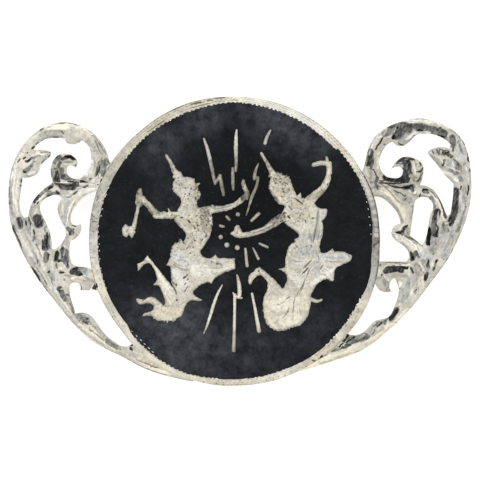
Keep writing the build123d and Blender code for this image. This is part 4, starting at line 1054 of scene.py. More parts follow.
# Faces of one grid cell by which of its corners a, b, c, d lie in the metal, counted as
# 1, 2, 4 and 8 from the low left corner round.  Two letters name a crossing between corners.
CELL_FACES = {
    1: ["a ab ad"], 2: ["b bc ab"], 3: ["a b bc ad"], 4: ["c dc bc"],
    5: ["a ab ad", "c dc bc"], 6: ["b c dc ab"], 7: ["a b c dc ad"], 8: ["d ad dc"],
    9: ["d a ab dc"], 10: ["b bc ab", "d ad dc"], 11: ["d a b bc dc"], 12: ["c d ad bc"],
    13: ["c d a ab bc"], 14: ["b c d ad ab"], 15: ["a b c d"],
}


class ReliefSolid:
    """Closed solid with a relief on its face, upright walls and a flat, bevelled back."""

    def __init__(self, relief: Relief, back_z: float, bevel: float) -> None:
        """Work out the vertices and faces.

        Args:
            relief: the face.
            back_z: height of the flat back.
            bevel: width and height of the bevel round the back.
        """
        self.inset = relief.inset
        self.faces: list[list[int]] = []
        self.edge: list[tuple[int, int]] = []
        metal = relief.inset > 0
        self.layers = np.stack([relief.x, relief.y, relief.height, relief.tarnish, relief.warmth,
                                *np.gradient(relief.inset, relief.step)[::-1]], axis=-1)
        self.blocks = [self.layers[metal]]
        self.count = inner = int(metal.sum())
        grid = np.full(metal.shape, -1)
        grid[metal] = np.arange(inner)
        across = self._crossings(np.s_[:, :-1], np.s_[:, 1:])
        along = self._crossings(np.s_[:-1, :], np.s_[1:, :])
        self._add_cells(metal, {
            "a": grid[:-1, :-1], "b": grid[:-1, 1:], "c": grid[1:, 1:], "d": grid[1:, :-1],
            "ab": across[:-1, :], "dc": across[1:, :], "ad": along[:, :-1],
            "bc": along[:, 1:]})
        self.points = np.vstack(self.blocks)
        self._close(inner, back_z, bevel)

    def _crossings(self, first: Part, second: Part) -> np.ndarray:
        """Add a vertex wherever the edge of the metal passes between two grid neighbours.

        Args:
            first: the part of the grid that holds the first neighbours.
            second: the part that holds the second ones.

        Returns:
            The number of the vertex for each pair, or -1 where there is none.
        """
        start, end = self.inset[first], self.inset[second]
        passes = (start > 0) != (end > 0)
        share = np.clip(start[passes] / (start[passes] - end[passes]), 0.02, 0.98)[:, None]
        block = self.layers[first][passes] * (1 - share) + self.layers[second][passes] * share
        numbers = np.full(passes.shape, -1)
        numbers[passes] = self.count + np.arange(len(block))
        self.blocks.append(block)
        self.count += len(block)
        return numbers

    def _add_cells(self, metal: np.ndarray, ids: dict[str, np.ndarray]) -> None:
        """Add the faces of every grid cell, and note the runs along the metal's edge.

        Args:
            metal: which grid points lie in the metal.
            ids: number of the vertex at each corner and crossing of every cell.
        """
        kind = (1 * metal[:-1, :-1] + 2 * metal[:-1, 1:] + 4 * metal[1:, 1:]
                + 8 * metal[1:, :-1])
        for number, outlines in CELL_FACES.items():
            for outline in outlines:
                names = outline.split()
                rows = np.stack([ids[name][kind == number] for name in names], axis=1)
                self.faces += rows.tolist()
                for k, name in enumerate(names):
                    following = (k + 1) % len(names)
                    if len(name) == len(names[following]) == 2:
                        self.edge += rows[:, [k, following]].tolist()

    def _close(self, first: int, back_z: float, bevel: float) -> None:
        """Add the walls and the back.

        Args:
            first: number of the first vertex on the metal's edge.
            back_z: height of the back.
            bevel: width and height of its bevel.
        """
        top = self.points[first:]
        count = len(top)
        inward = top[:, 5:7] / np.maximum(np.hypot(top[:, 5], top[:, 6]), 1e-6)[:, None]
        wall, back = top.copy(), top.copy()
        wall[:, 2], back[:, 2] = back_z + bevel, back_z
        back[:, :2] += inward * bevel
        wall[:, 3] = back[:, 3] = WALL_TONE
        self.points = np.vstack([self.points, wall, back])
        for start, end in self.edge:
            self.faces.append([end, start, start + count, end + count])
            self.faces.append([end + count, start + count, start + 2 * count, end + 2 * count])
        mesh = bmesh.new()
        corners = [mesh.verts.new((x, y, 0)) for x, y in wall[:, :2]]
        for start, end in self.edge:
            mesh.edges.new((corners[end - first], corners[start - first]))
        mesh.verts.index_update()
        bmesh.ops.triangle_fill(mesh, edges=mesh.edges[:], use_beauty=False, normal=(0, 0, -1))
        mesh.verts.index_update()
        for face in mesh.faces:
            order = [vert.index + first + 2 * count for vert in face.verts]
            self.faces.append(order if face.normal.z < 0 else order[::-1])
        mesh.free()


def new_object(name: str, data: bpy.types.ID) -> Thing:
    """Make an object and link it to the scene.

    Args:
        name: its name.
        data: its mesh, lamp or lens.

    Returns:
        The object, at the origin.
    """
    thing = bpy.data.objects.new(name, data)
    bpy.context.scene.collection.objects.link(thing)
    return thing


def make_piece(name: str, points: np.ndarray, faces: list[list[int]],
               sharp_angle: float) -> Thing:
    """Make a smooth mesh object with its tarnish, painted shade and warmth at each vertex.

    Args:
        name: the piece's name.
        points: x, y and z in millimetres, tarnish with painted shade, and warmth of each vertex.
        faces: vertex numbers of each face.
        sharp_angle: degrees between faces past which an edge stays sharp.

    Returns:
        The object, at the origin.
    """
    mesh = bpy.data.meshes.new(name)
    mesh.from_pydata((points[:, :3] * MM).tolist(), [], faces)
    for column, attribute in ((3, TARNISH_AND_SHADE), (4, WARMTH)):
        layer = mesh.attributes.new(attribute, "FLOAT", "POINT")
        layer.data.foreach_set("value", points[:, column].astype(np.float32))
    mesh.shade_smooth()
    mesh.set_sharp_from_angle(angle=radians(sharp_angle))
    mesh.update()
    return new_object(name, mesh)


def turned_piece(name: str, sizes: BroochSizes, layers: Sequence[np.ndarray],
                 sharp_angle: float) -> Thing:
    """Make a round piece from rings of vertices, with a flat face at each end.

    Args:
        name: the piece's name.
        sizes: the sizes of the brooch.
        layers: distance from the middle, height, tarnish with painted shade, and warmth,
        each with a row for every ring, from the middle of the face out and round to the back.
        sharp_angle: degrees between faces past which an edge stays sharp.

    Returns:
        The object, at the origin.
    """
    out, *rest = layers
    rings, count = out.shape
    here = np.arange(count)
    turn = np.tile(here * 2 * pi / count, (rings, 1))
    points = np.stack([*sizes.polar(out, turn), *rest], axis=-1).reshape(-1, 5)
    after = (here + 1) % count
    faces: list[list[int]] = []
    for start in range(0, (rings - 1) * count, count):
        quads = [start + here, start + count + here, start + count + after, start + after]
        faces += np.stack(quads, axis=1).tolist()
    faces += [here.tolist(), ((rings - 1) * count + here)[::-1].tolist()]
    return make_piece(name, points, faces, sharp_angle)


class NodeSheet:
    """Short way to add and join the nodes of one tree."""

    def __init__(self, tree: bpy.types.NodeTree) -> None:
        """Start with an empty tree."""
        self.tree = tree
        tree.nodes.clear()

    def add(self, kind: str, inputs: dict | None = None, **settings: object) -> bpy.types.Node:
        """Add a node.

        Args:
            kind: the node's type.
            inputs: a value or another node's output for each named or numbered input.
            settings: the node's own properties.

        Returns:
            The node.
        """
        node = self.tree.nodes.new(kind)
        for name, value in settings.items():
            setattr(node, name, value)
        for name, value in (inputs or {}).items():
            if isinstance(value, Socket):
                self.tree.links.new(value, node.inputs[name])
            else:
                node.inputs[name].default_value = value
        return node

    def ramp(self, factor: Socket, *stops: tuple[float, Colour]) -> Socket:
        """Add a colour ramp.

        Args:
            factor: what drives it.
            stops: a position and a colour for each stop.

        Returns:
            Its colour output.
        """
        node = self.add("ShaderNodeValToRGB", {"Fac": factor})
        elements = node.color_ramp.elements
        while len(elements) < len(stops):
            elements.new(0.5)
        for element, (position, colour) in zip(elements, stops):
            element.position = position
            element.color = (*colour, 1)
        return node.outputs["Color"]

    def math(self, kind: str, *values: object) -> Socket:
        """Add a Math node of some kind and give its output."""
        return self.add("ShaderNodeMath", dict(enumerate(values)), operation=kind).outputs[0]

    def noise(self, vector: Socket, scale: float, detail: float,
              roughness: float = 0.5) -> Socket:
        """Add a noise texture and give its value."""
        inputs = {"Vector": vector, "Scale": scale, "Detail": detail, "Roughness": roughness}
        return self.add("ShaderNodeTexNoise", inputs).outputs[0]


class Coat(NodeSheet):
    """Node sheet of one procedural material on Object coordinates."""

    def __init__(self, name: str) -> None:
        """Start the material.

        Args:
            name: its name.
        """
        self.material = bpy.data.materials.new(name)
        self.material.use_nodes = True
        super().__init__(self.material.node_tree)
        self.place = self.add("ShaderNodeTexCoord").outputs["Object"]

    def drawn(self, stretch: Row, turn: float = 0.0) -> Socket:
        """Coordinates that draw a pattern out into lines, turned by some degrees."""
        return self.add("ShaderNodeMapping", {
            "Vector": self.place, "Scale": stretch, "Rotation": (0, 0, radians(turn))}).outputs[0]

    def around(self, base: Socket | float, noise: Socket, swing: float) -> Socket:
        """Let a value swing to both sides by a noise."""
        return self.math("MULTIPLY_ADD", self.math("SUBTRACT", noise, 0.5), swing, base)

    def finish(self, inputs: dict, height: Socket | None = None,
               strength: float = 0.0) -> bpy.types.Material:
        """Join everything to the shader.

        Args:
            inputs: the shader's inputs.
            height: height of the fine grain, if any.
            strength: how strong the grain is.

        Returns:
            The material.
        """
        if height:
            bump = self.add("ShaderNodeBump", {"Height": height, "Strength": strength,
                                               "Distance": 0.0001})
            inputs = {**inputs, "Normal": bump.outputs[0]}
        shader = self.add("ShaderNodeBsdfPrincipled", inputs)
        self.add("ShaderNodeOutputMaterial", {"Surface": shader.outputs[0]})
        return self.material


@dataclass(frozen=True)
class SilverFinish:
    """Worked silver: painted highlights on ridges, painted shade, tarnish left in the cuts."""

    name: str
    cool: Colour = (0.95, 0.95, 0.91)
    warm: Colour = (1.0, 0.925, 0.73)
    roughness: float = 0.36
    mottle: float = 0.10
    flecks: float = 0.10
    grain: float = 0.10
    mottle_scale: float = 520  # waves in a metre
    fleck_scale: float = 3600
    warmth_scale: float = 880
    line_scale: float = 1500
    line_turn: float = 35
    pit_scale: float = 5200
    # share of the light that is left at each level of tarnish and painted shade
    fall: tuple[Row, ...] = ((0.0, 1.0), (0.25, 0.60), (0.5, 0.30), (0.75, 0.13), (1.0, 0.04))

    def material(self) -> bpy.types.Material:
        """Set up the finish.

        Returns:
            Its material.
        """
        coat = Coat(self.name)
        tone, warmth = (coat.add("ShaderNodeAttribute", attribute_name=name).outputs["Fac"]
                        for name in (TARNISH_AND_SHADE, WARMTH))
        mottle = coat.noise(coat.place, self.mottle_scale, 4, 0.6)
        flecks = coat.noise(coat.place, self.fleck_scale, 3, 0.6)
        tone = coat.around(coat.around(tone, mottle, self.mottle * 2), flecks, self.flecks * 2)
        warmth = coat.around(warmth, coat.noise(coat.place, self.warmth_scale, 3), 0.6)
        mix = coat.add("ShaderNodeMix", {"Factor": warmth}, data_type="RGBA")
        for number, colour in ((6, self.cool), (7, self.warm)):
            stops = [(at, tuple(share * part for part in colour)) for at, share in self.fall]
            coat.tree.links.new(coat.ramp(tone, *stops), mix.inputs[number])
        lines = coat.noise(coat.drawn((1, 9, 1), self.line_turn), self.line_scale, 3)
        pits = coat.noise(coat.place, self.pit_scale, 3)
        return coat.finish({
            "Base Color": mix.outputs[2], "Metallic": 1.0,
            "Roughness": coat.math("MULTIPLY_ADD", tone, 0.25, self.roughness),
        }, coat.math("MULTIPLY_ADD", lines, 0.6, pits), self.grain)


@dataclass(frozen=True)
class NielloFinish:
    """Black niello with a dull shine, cloudy blue-grey where it has gone matt."""

    sizes: BroochSizes
    name: str = "niello"
    black: Colour = (0.0030, 0.0034, 0.0044)
    grey: Colour = (0.105, 0.114, 0.132)
    base_stain: float = 0.10
    roughness: float = 0.42
    sheen: float = 0.10
    mottle_scale: float = 640  # waves in a metre
    speck_scale: float = 2600
    scratch_scale: float = 900
    scratch_turn: float = 64
    pit_scale: float = 5200
    grain: float = 0.08
    # x, y, radius and strength of each cloudy place, in shares of the field
    clouds: tuple[Row, ...] = (
        (-0.22, 0.91, 0.20, 0.9), (-0.585, 0.68, 0.24, 0.5), (0.32, 0.88, 0.30, 0.7),
        (0.08, 0.97, 0.20, 0.4), (0.55, 0.78, 0.24, 0.4), (-0.43, -0.72, 0.45, 0.8),
        (-0.69, -0.50, 0.26, 0.3), (0.10, -0.84, 0.45, 0.4), (-0.47, 0.31, 0.20, 0.3),
        (-0.43, 0.79, 0.22, 0.3), (0.60, -0.66, 0.30, 0.28), (-0.38, -0.58, 0.22, 0.35),
        (-0.10, -0.18, 0.22, 0.25), (0.62, 0.66, 0.22, 0.3), (0.15, 0.33, 0.55, -0.12),
    )

    def material(self) -> bpy.types.Material:
        """Set up the finish.

        Returns:
            Its material.
        """
        coat = Coat(self.name)
        amount = self.base_stain
        for x, y, radius, strength in self.clouds:
            centre = np.array(self.sizes.field_place(x, y)) * MM
            scale = 1 / (radius * self.sizes.field_radius * MM)
            spot = coat.add("ShaderNodeMapping", {
                "Vector": coat.place, "Scale": (scale, scale, 0),
                "Location": (-centre[0] * scale, -centre[1] * scale, 0)})
            spot = coat.add("ShaderNodeTexGradient", {"Vector": spot.outputs[0]},
                            gradient_type="SPHERICAL").outputs["Fac"]
            amount = coat.math("MULTIPLY_ADD", spot, strength, amount)
        mottle = coat.ramp(coat.noise(coat.place, self.mottle_scale, 7, 0.74),
                           (0.36, (0.14, 0.14, 0.14)), (0.70, (1, 1, 1)))
        speck = coat.noise(coat.place, self.speck_scale, 3)
        grain = coat.ramp(speck, (0.60, (0, 0, 0)), (0.78, (0.16, 0.16, 0.16)))
        stain = coat.math("ADD", coat.math("MULTIPLY", amount, mottle), grain)
        drawn = coat.drawn((1, 14, 1), self.scratch_turn)
        scratches = coat.noise(drawn, self.scratch_scale, 2)
        pits = coat.noise(coat.place, self.pit_scale, 2)
        return coat.finish({
            "Base Color": coat.ramp(stain, (0.0, self.black), (0.9, self.grey)),
            "Metallic": 0.0, "Specular IOR Level": self.sheen,
            "Roughness": coat.math("MULTIPLY_ADD", speck, 0.16, self.roughness),
        }, coat.math("MULTIPLY_ADD", scratches, 0.5, pits), self.grain)


@dataclass(frozen=True)
class PinFinish:
    """Plain drawn and filed pin metal."""

    name: str = "pin_metal"
    colour: Colour = (0.66, 0.65, 0.62)
    stained: Colour = (0.34, 0.31, 0.27)
    roughness: float = 0.24
    cloud_scale: float = 260  # waves in a metre
    line_scale: float = 400
    grain: float = 0.25

    def material(self) -> bpy.types.Material:
        """Set up the finish.

        Returns:
            Its material.
        """
        coat = Coat(self.name)
        cloud = coat.noise(coat.place, self.cloud_scale, 4, 0.6)
        return coat.finish({
            "Base Color": coat.ramp(cloud, (0.42, self.colour), (0.75, self.stained)),
            "Metallic": 1.0, "Roughness": coat.math("MULTIPLY_ADD", cloud, 0.2, self.roughness),
        }, coat.noise(coat.drawn((1, 20, 20)), self.line_scale, 3), self.grain)


WING_SILVER = SilverFinish("wing_silver", roughness=0.34)
RIM_SILVER = SilverFinish("rim_silver", mottle=0.07, flecks=0.08)
FIGURE_SILVER = SilverFinish("figure_silver", roughness=0.42, mottle=0.12, flecks=0.20,
                             grain=0.16)


def dress(piece: Thing, material: bpy.types.Material, slot: str, *replaced: str) -> None:
    """Give a piece its finish and join it to the brooch.

    Args:
        piece: the object.
        material: its finish.
        slot: the record's material slot; not used.
        replaced: CAD nodes that it stands for.
    """
    piece.data.materials.clear()
    piece.data.materials.append(material)
    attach(piece, BODY)
    if replaced:
        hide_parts(*replaced)
    LOG.info("%s: %d faces", piece.name, len(piece.data.polygons))


class Side(Enum):
    """Which wing, by its direction from the disc in the face-on view."""

    LEFT = -1
    RIGHT = 1


@dataclass
class Wing:
    """Pierced wing of scrolls, cast flat, raised along its scrolls and cut with a graver."""

    sizes: BroochSizes
    outlines: list[np.ndarray]
    side: Side
    spread: float  # millimetres beyond the rim for one disc share
    base_tone: float
    scrolls: list[list[Row]]
    shades: list[Row]
    cuts: list[Row]
    lights: list[Row]
    finish: SilverFinish = WING_SILVER
    grid_step: float = 0.055
    sway: float = 0.07
    lip: float = 0.035  # drop of the face at a sawn edge
    lip_width: float = 0.28
    body_drop: float = 0.16  # flat metal below the scrolls' tops
    scroll_spread: float = 2.1
    shade_depth: float = 0.16
    cut_depth: float = 0.22
    ridge_rise: float = 0.08
    base_warmth: float = 0.55
    lip_tone: float = 0.02
    # painted shade in the lower metal between the scrolls
    valley_tone: float = 0.05
    back_bevel: float = 0.05
    clearance: float = 0.002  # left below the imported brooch's highest point
    reach: float = 1.5  # largest distance from an edge that matters
    thinnest: float = 0.20  # narrower metal beside the rim is the rim's own
    merge_width: float = 1.2  # how far from the rim its height is taken up
    broad_facets: Row = (1.10, 0.050, 0.055, 11)  # size, tilt, tone and seed
    fine_facets: Row = (0.34, 0.012, 0.025, 12)
    # place and radius in thousandths of a disc share of solder beads in the corners
    beads: tuple[Row, ...] = (
        (-962, -298, 10), (-962, -314, 14), (-952, -326, 14), (-974, -324, 12))

    def place(self, x: float, y: float) -> tuple[float, float]:
        """Turn disc shares into millimetres, with the wing's own reach beyond the rim.

        Args:
            x: share across.
            y: share along.

        Returns:
            The place on the wing.
        """
        share = hypot(x, y)
        out = self.sizes.disc_radius * min(share, 1) + self.spread * max(share - 1, 0)
        return self.sizes.disc_x + x / share * out, y / share * out

    def _own_outlines(self) -> list[np.ndarray]:
        """Pick the outlines of this wing.

        Returns:
            The brooch's outer edge and the wing's sawn gaps.
        """
        edge = max(self.outlines, key=outline_area)
        gaps = [gap for gap in self.outlines if gap is not edge
                and (gap[:, 0].mean() - self.sizes.disc_x) * self.side.value > 0]
        return [edge, *gaps]

    def relief(self) -> Relief:
        """Work out the face of the wing.

        Returns:
            The relief, whose metal ends at the rim and at the brooch's middle.
        """
        sizes, chart = self.sizes, Chart(self.place, self.sizes.disc_radius)
        face = Relief(self._own_outlines(), chart, self.grid_step, self.reach, self.sway)
        for x, y, radius in (chart.point(*bead) for bead in self.beads):
            face.inset = np.maximum(face.inset, radius - np.hypot(face.x - x, face.y - y))
        edge = face.inset.copy()
        from_middle = face.x - sizes.disc_x
        angle = np.arctan2(face.y, from_middle)
        beyond = np.hypot(from_middle, face.y)
        beyond -= rim_course(angle, Course.OUTER) * sizes.disc_radius
        face.inset = np.minimum(np.minimum(edge, beyond), from_middle * self.side.value)
        face.drop_slivers(self.thinnest)
        scroll = face.band_closeness(self.scrolls, self.scroll_spread)
        body = sizes.scroll_z - self.ridge_rise - self.body_drop
        face.height = body + self.body_drop * smooth_step(scroll * 1.25)
        merge = rim_course(angle, Course.MERGE) * (1 - smooth_step(beyond / self.merge_width))
        face.height += (sizes.rim_z - face.height) * merge
        drop = 1 - smooth_step(edge / self.lip_width)
        face.height -= self.lip * drop
        # the valleys between the scrolls get a little painted shade
        valley = 1 - smooth_step(scroll * 2)
        face.tarnish = self.base_tone + self.lip_tone * drop + self.valley_tone * valley
        face.warmth += self.base_warmth
        face.facets(*self.broad_facets)
        face.shade(self.shades, self.shade_depth)
        face.facets(*self.fine_facets)
        face.raise_strokes(self.lights, self.ridge_rise)
        face.cut(self.cuts)
        face.height -= self.cut_depth * face.carved
        face.height = np.minimum(face.height, sizes.scroll_z - self.clearance)
        return face

    def build(self) -> None:
        """Build and dress the wing."""
        solid = ReliefSolid(self.relief(), self.sizes.back_z, self.back_bevel)
        name = f"{self.side.name.lower()}_wing"
        piece = make_piece(name, solid.points, solid.faces, sharp_angle=48)
        dress(piece, self.finish.material(), "silver", "silver_body")


@dataclass
class DiscRim:
    """Silver disc behind the niello, with its engraved rim."""

    sizes: BroochSizes
    finish: SilverFinish = RIM_SILVER
    angle_count: int = 1800
    ring_count: int = 28
    outer_bevel: float = 0.06
    inner_drop: float = 0.05
    inner_slope: float = 0.12  # width of the slope down to the niello
    lines: tuple[float, ...] = (0.28, 0.60, 0.86)  # engraved lines, as shares across
    line_width: float = 0.15
    line_depth: float = 0.05
    dot_pitch: float = 0.56
    mark_depth: float = 0.08
    block_share: float = 0.55  # where across the rim the pale blocks sit
    block_length: float = 0.24
    block_width: float = 0.26
    block_rise: float = 0.015
    block_gleam: float = 0.17
    dusk_start: float = -20  # degrees between which the outer edge gets painted shade
    dusk_end: float = 29
    dusk_share: float = 0.95
    dusk_width: float = 0.26
    dusk_tone: float = 0.22
    unevenness: float = 0.012
    speck_tone: float = 0.28
    smudge_tone: float = 0.12
    cloud_tone: float = 0.05
    edge_tone: float = 0.05
    base_tone: float = 0.08
    inner_tone: float = 0.3
    inner_warmth: float = 0.4
    back_bevel: float = 0.06

    def __post_init__(self) -> None:
        """Lay rings of points over the rim's face."""
        radius = self.sizes.disc_radius
        angles = np.arange(self.angle_count) * 2 * pi / self.angle_count
        self.inner = rim_course(angles, Course.INNER) * radius
        outer = rim_course(angles, Course.OUTER) * radius
        self.outer = np.minimum(outer, radius / np.maximum(np.abs(np.sin(angles)), 0.5))
        self.width = self.outer - self.inner
        self.share, self.angle = np.meshgrid(
            np.linspace(0, 1, self.ring_count), angles, indexing="ij")
        self.degrees = (np.degrees(self.angle) + 180) % 360 - 180
        self.out = self.inner + self.share * self.width
        self.x, self.y = self.sizes.polar(self.out, self.angle)

    def _mark_place(self, turn: float, share: float) -> tuple[float, float]:
        """Turn thousands of degrees and a disc share into a place in millimetres."""
        return self.sizes.polar(share * self.sizes.disc_radius, radians(turn / THOUSANDTH))

    def _engraving(self) -> tuple[np.ndarray, np.ndarray]:
        """Work out the rows of fine lines and dots that run round the rim.

        Returns:
            Their depth and their tarnish.
        """
        strength = rim_course(self.angle, Course.LINES)
        dot_count = round(2 * pi * self.sizes.disc_radius / self.dot_pitch)
        depth, tone = np.zeros((2, *self.share.shape))
        for number, line in enumerate(self.lines):
            off = np.abs(self.share - line) * self.width
            near = smooth_step(1 - 2 * off / self.line_width)
            beat = 0.5 + 0.5 * np.sin(dot_count * self.angle + number * 2.1)
            depth += self.line_depth * near * strength * (0.5 + 0.5 * beat)
            tone += near * strength * (0.05 + 0.20 * beat)
        return depth, tone

    def _blocks(self) -> np.ndarray:
        """Work out the pale blocks on the rim's right side.

        Returns:
            1 on a block, falling to 0 beside it.
        """
        best = np.zeros_like(self.share)
        off = np.abs(self.share - self.block_share) * self.width
        for block in RIM_BLOCKS:
            along = np.radians(self.degrees - block) * self.sizes.disc_radius
            gap = np.maximum(np.abs(along) / self.block_length, off / self.block_width)
            best = np.maximum(best, smooth_step(2.2 - 1.6 * gap))
        return best

    def _dusk(self) -> np.ndarray:
        """Work out the stretch of the outer edge that gets painted shade.

        Returns:
            1 in the stretch, falling to 0 beside it.
        """
        along = smooth_step((self.degrees - self.dusk_start) / 8) * smooth_step(
            (self.dusk_end - self.degrees) / 4)
        off = np.abs(self.share - self.dusk_share) * self.width
        return along * smooth_step(1 - off / self.dusk_width)

    def _face(self) -> tuple[np.ndarray, np.ndarray]:
        """Work out the rim's face.

        Returns:
            Its height and its tarnish.
        """
        x, y, angle = self.x, self.y, self.angle
        edge = 1 - smooth_step((1 - self.share) * self.width / self.outer_bevel)
        edge *= 1 - rim_course(angle, Course.MERGE)
        block = self._blocks()
        depth, tone = self._engraving()
        height = self.sizes.rim_z - depth - self.outer_bevel * edge + self.block_rise * block
        slope = smooth_step(self.share * self.width / self.inner_slope)
        height += self.unevenness * value_noise(x, y, 0.6, 21) - self.inner_drop * (1 - slope)
        fine = smooth_step(value_noise(x, y, 0.20, 22) * 2 - 0.6)
        specks = self.speck_tone * fine + self.smudge_tone * value_noise(x, y, 0.5, 23)
        tone += specks * rim_course(angle, Course.SPECKS)
        tone += self.base_tone + rim_course(angle, Course.TONE)
        tone += self.cloud_tone * value_noise(x, y, 1.1, 24) + self.edge_tone * edge
        # painted shade on a stretch of the outer edge
        tone += self.dusk_tone * self._dusk() - self.block_gleam * block
        carved = np.zeros_like(tone)
        chart = Chart(self._mark_place, self.sizes.disc_radius)
        for mark, *numbers in RIM_MARKS:
            near = closeness(x, y, chart.stroke(*numbers))
            carved = np.maximum(carved, mark * HUNDREDTH * near)
            tone = np.maximum(tone, mark * HUNDREDTH * smooth_step(near * 1.7))
        return height - self.mark_depth * carved, tone

    def build(self) -> None:
        """Build and dress the disc."""
        sizes, flat = self.sizes, np.zeros(self.angle_count)
        height, tone = self._face()
        warmth = rim_course(self.angle, Course.WARMTH)
        layers = [np.vstack([first + flat, face, wall + flat, back + flat])
                  for first, face, wall, back in (
                      (self.inner, self.out, self.outer, self.outer - self.back_bevel),
                      (sizes.recess_z, height, sizes.back_z + self.back_bevel, sizes.back_z),
                      (self.inner_tone, tone, WALL_TONE, WALL_TONE),
                      (self.inner_warmth, warmth, warmth[-1], warmth[-1]))]
        piece = turned_piece("disc_rim", sizes, layers, 40)
        dress(piece, self.finish.material(), "silver", "silver_body")


@dataclass
class NielloField:
    """Black filling of the disc, which reaches a little way under the rim."""

    sizes: BroochSizes
    angle_count: int = 720
    ring_count: int = 36
    lap: float = 0.06  # reach beyond the rim's inner edge
    swell: float = 0.012  # height of its soft unevenness
    swell_size: float = 2.4
    middle: float = 0.01  # where the first ring lies, as a share of the edge's distance

    def build(self) -> None:
        """Build and dress the niello."""
        sizes = self.sizes
        angles = np.arange(self.angle_count) * 2 * pi / self.angle_count
        edge = rim_course(angles, Course.INNER) * sizes.disc_radius + self.lap
        out = np.linspace(self.middle, 1, self.ring_count)[:, None] * edge
        swell = 0.5 + 0.5 * value_noise(*sizes.polar(out, angles), self.swell_size, 31)
        height = np.vstack([sizes.niello_z - self.swell * swell, sizes.recess_z + 0 * edge])
        out = np.vstack([out, edge])
        piece = turned_piece("niello", sizes, (out, height, 0 * out, 0 * out), 50)
        dress(piece, NielloFinish(sizes).material(), "niello", "niello_field")


@dataclass
class InlaidFigure:
    """Silver figure that stands a little proud of the niello, with its engraving."""

    name: str
    sizes: BroochSizes
    outlines: list[np.ndarray]
    shades: list[Row]
    engraving: Sequence[Row] = ()
    punches: Sequence[Row] = ()
    hems: Sequence[Row] = ()
    finish: SilverFinish = FIGURE_SILVER
    grid_step: float = 0.05
    overlap: float = 0.0  # how far the figure laps over the niello's edge
    ragged: float = 0.040  # unevenness of its edge
    reach: float = 1.0  # largest distance from the edge that matters
    sway: float = 0.03
    facets: Row = (0.30, 0.010, 0.035, 13)  # size, tilt, tone and seed
    lip: float = 0.05
    lip_width: float = 0.24
    lip_tone: float = 0.20
    cut_depth: float = 0.08
    base_tone: float = 0.21
    base_warmth: float = 0.66
    punch_seed: int = 61
    back_bevel: float = 0.01
    seat: float = 0.12  # how deep the silver reaches into the niello

    def build(self) -> None:
        """Build and dress the figure."""
        sizes = self.sizes
        chart = Chart(sizes.field_place, sizes.field_radius)
        face = Relief(self.outlines, chart, self.grid_step, self.reach, self.sway)
        face.inset += self.overlap + self.ragged * face.noise(0.34, 41)
        face.inset += self.ragged * face.noise(0.17, 42)
        face.fray(self.hems)
        drop = 1 - smooth_step(face.inset / self.lip_width)
        face.height = sizes.figure_z - self.lip * drop
        face.tarnish += self.base_tone
        face.warmth += self.base_warmth
        face.shade(self.shades, 0)
        face.facets(*self.facets)
        face.cut([*self.engraving, *strewn_dots(self.punches, self.punch_seed)])
        face.tarnish += self.lip_tone * drop
        face.height -= self.cut_depth * face.carved
        face.height = np.minimum(face.height, sizes.figure_z)
        solid = ReliefSolid(face, sizes.niello_z - self.seat, self.back_bevel)
        piece = make_piece(self.name, solid.points, solid.faces, sharp_angle=50)
        dress(piece, self.finish.material(), "silver", "silver_body")


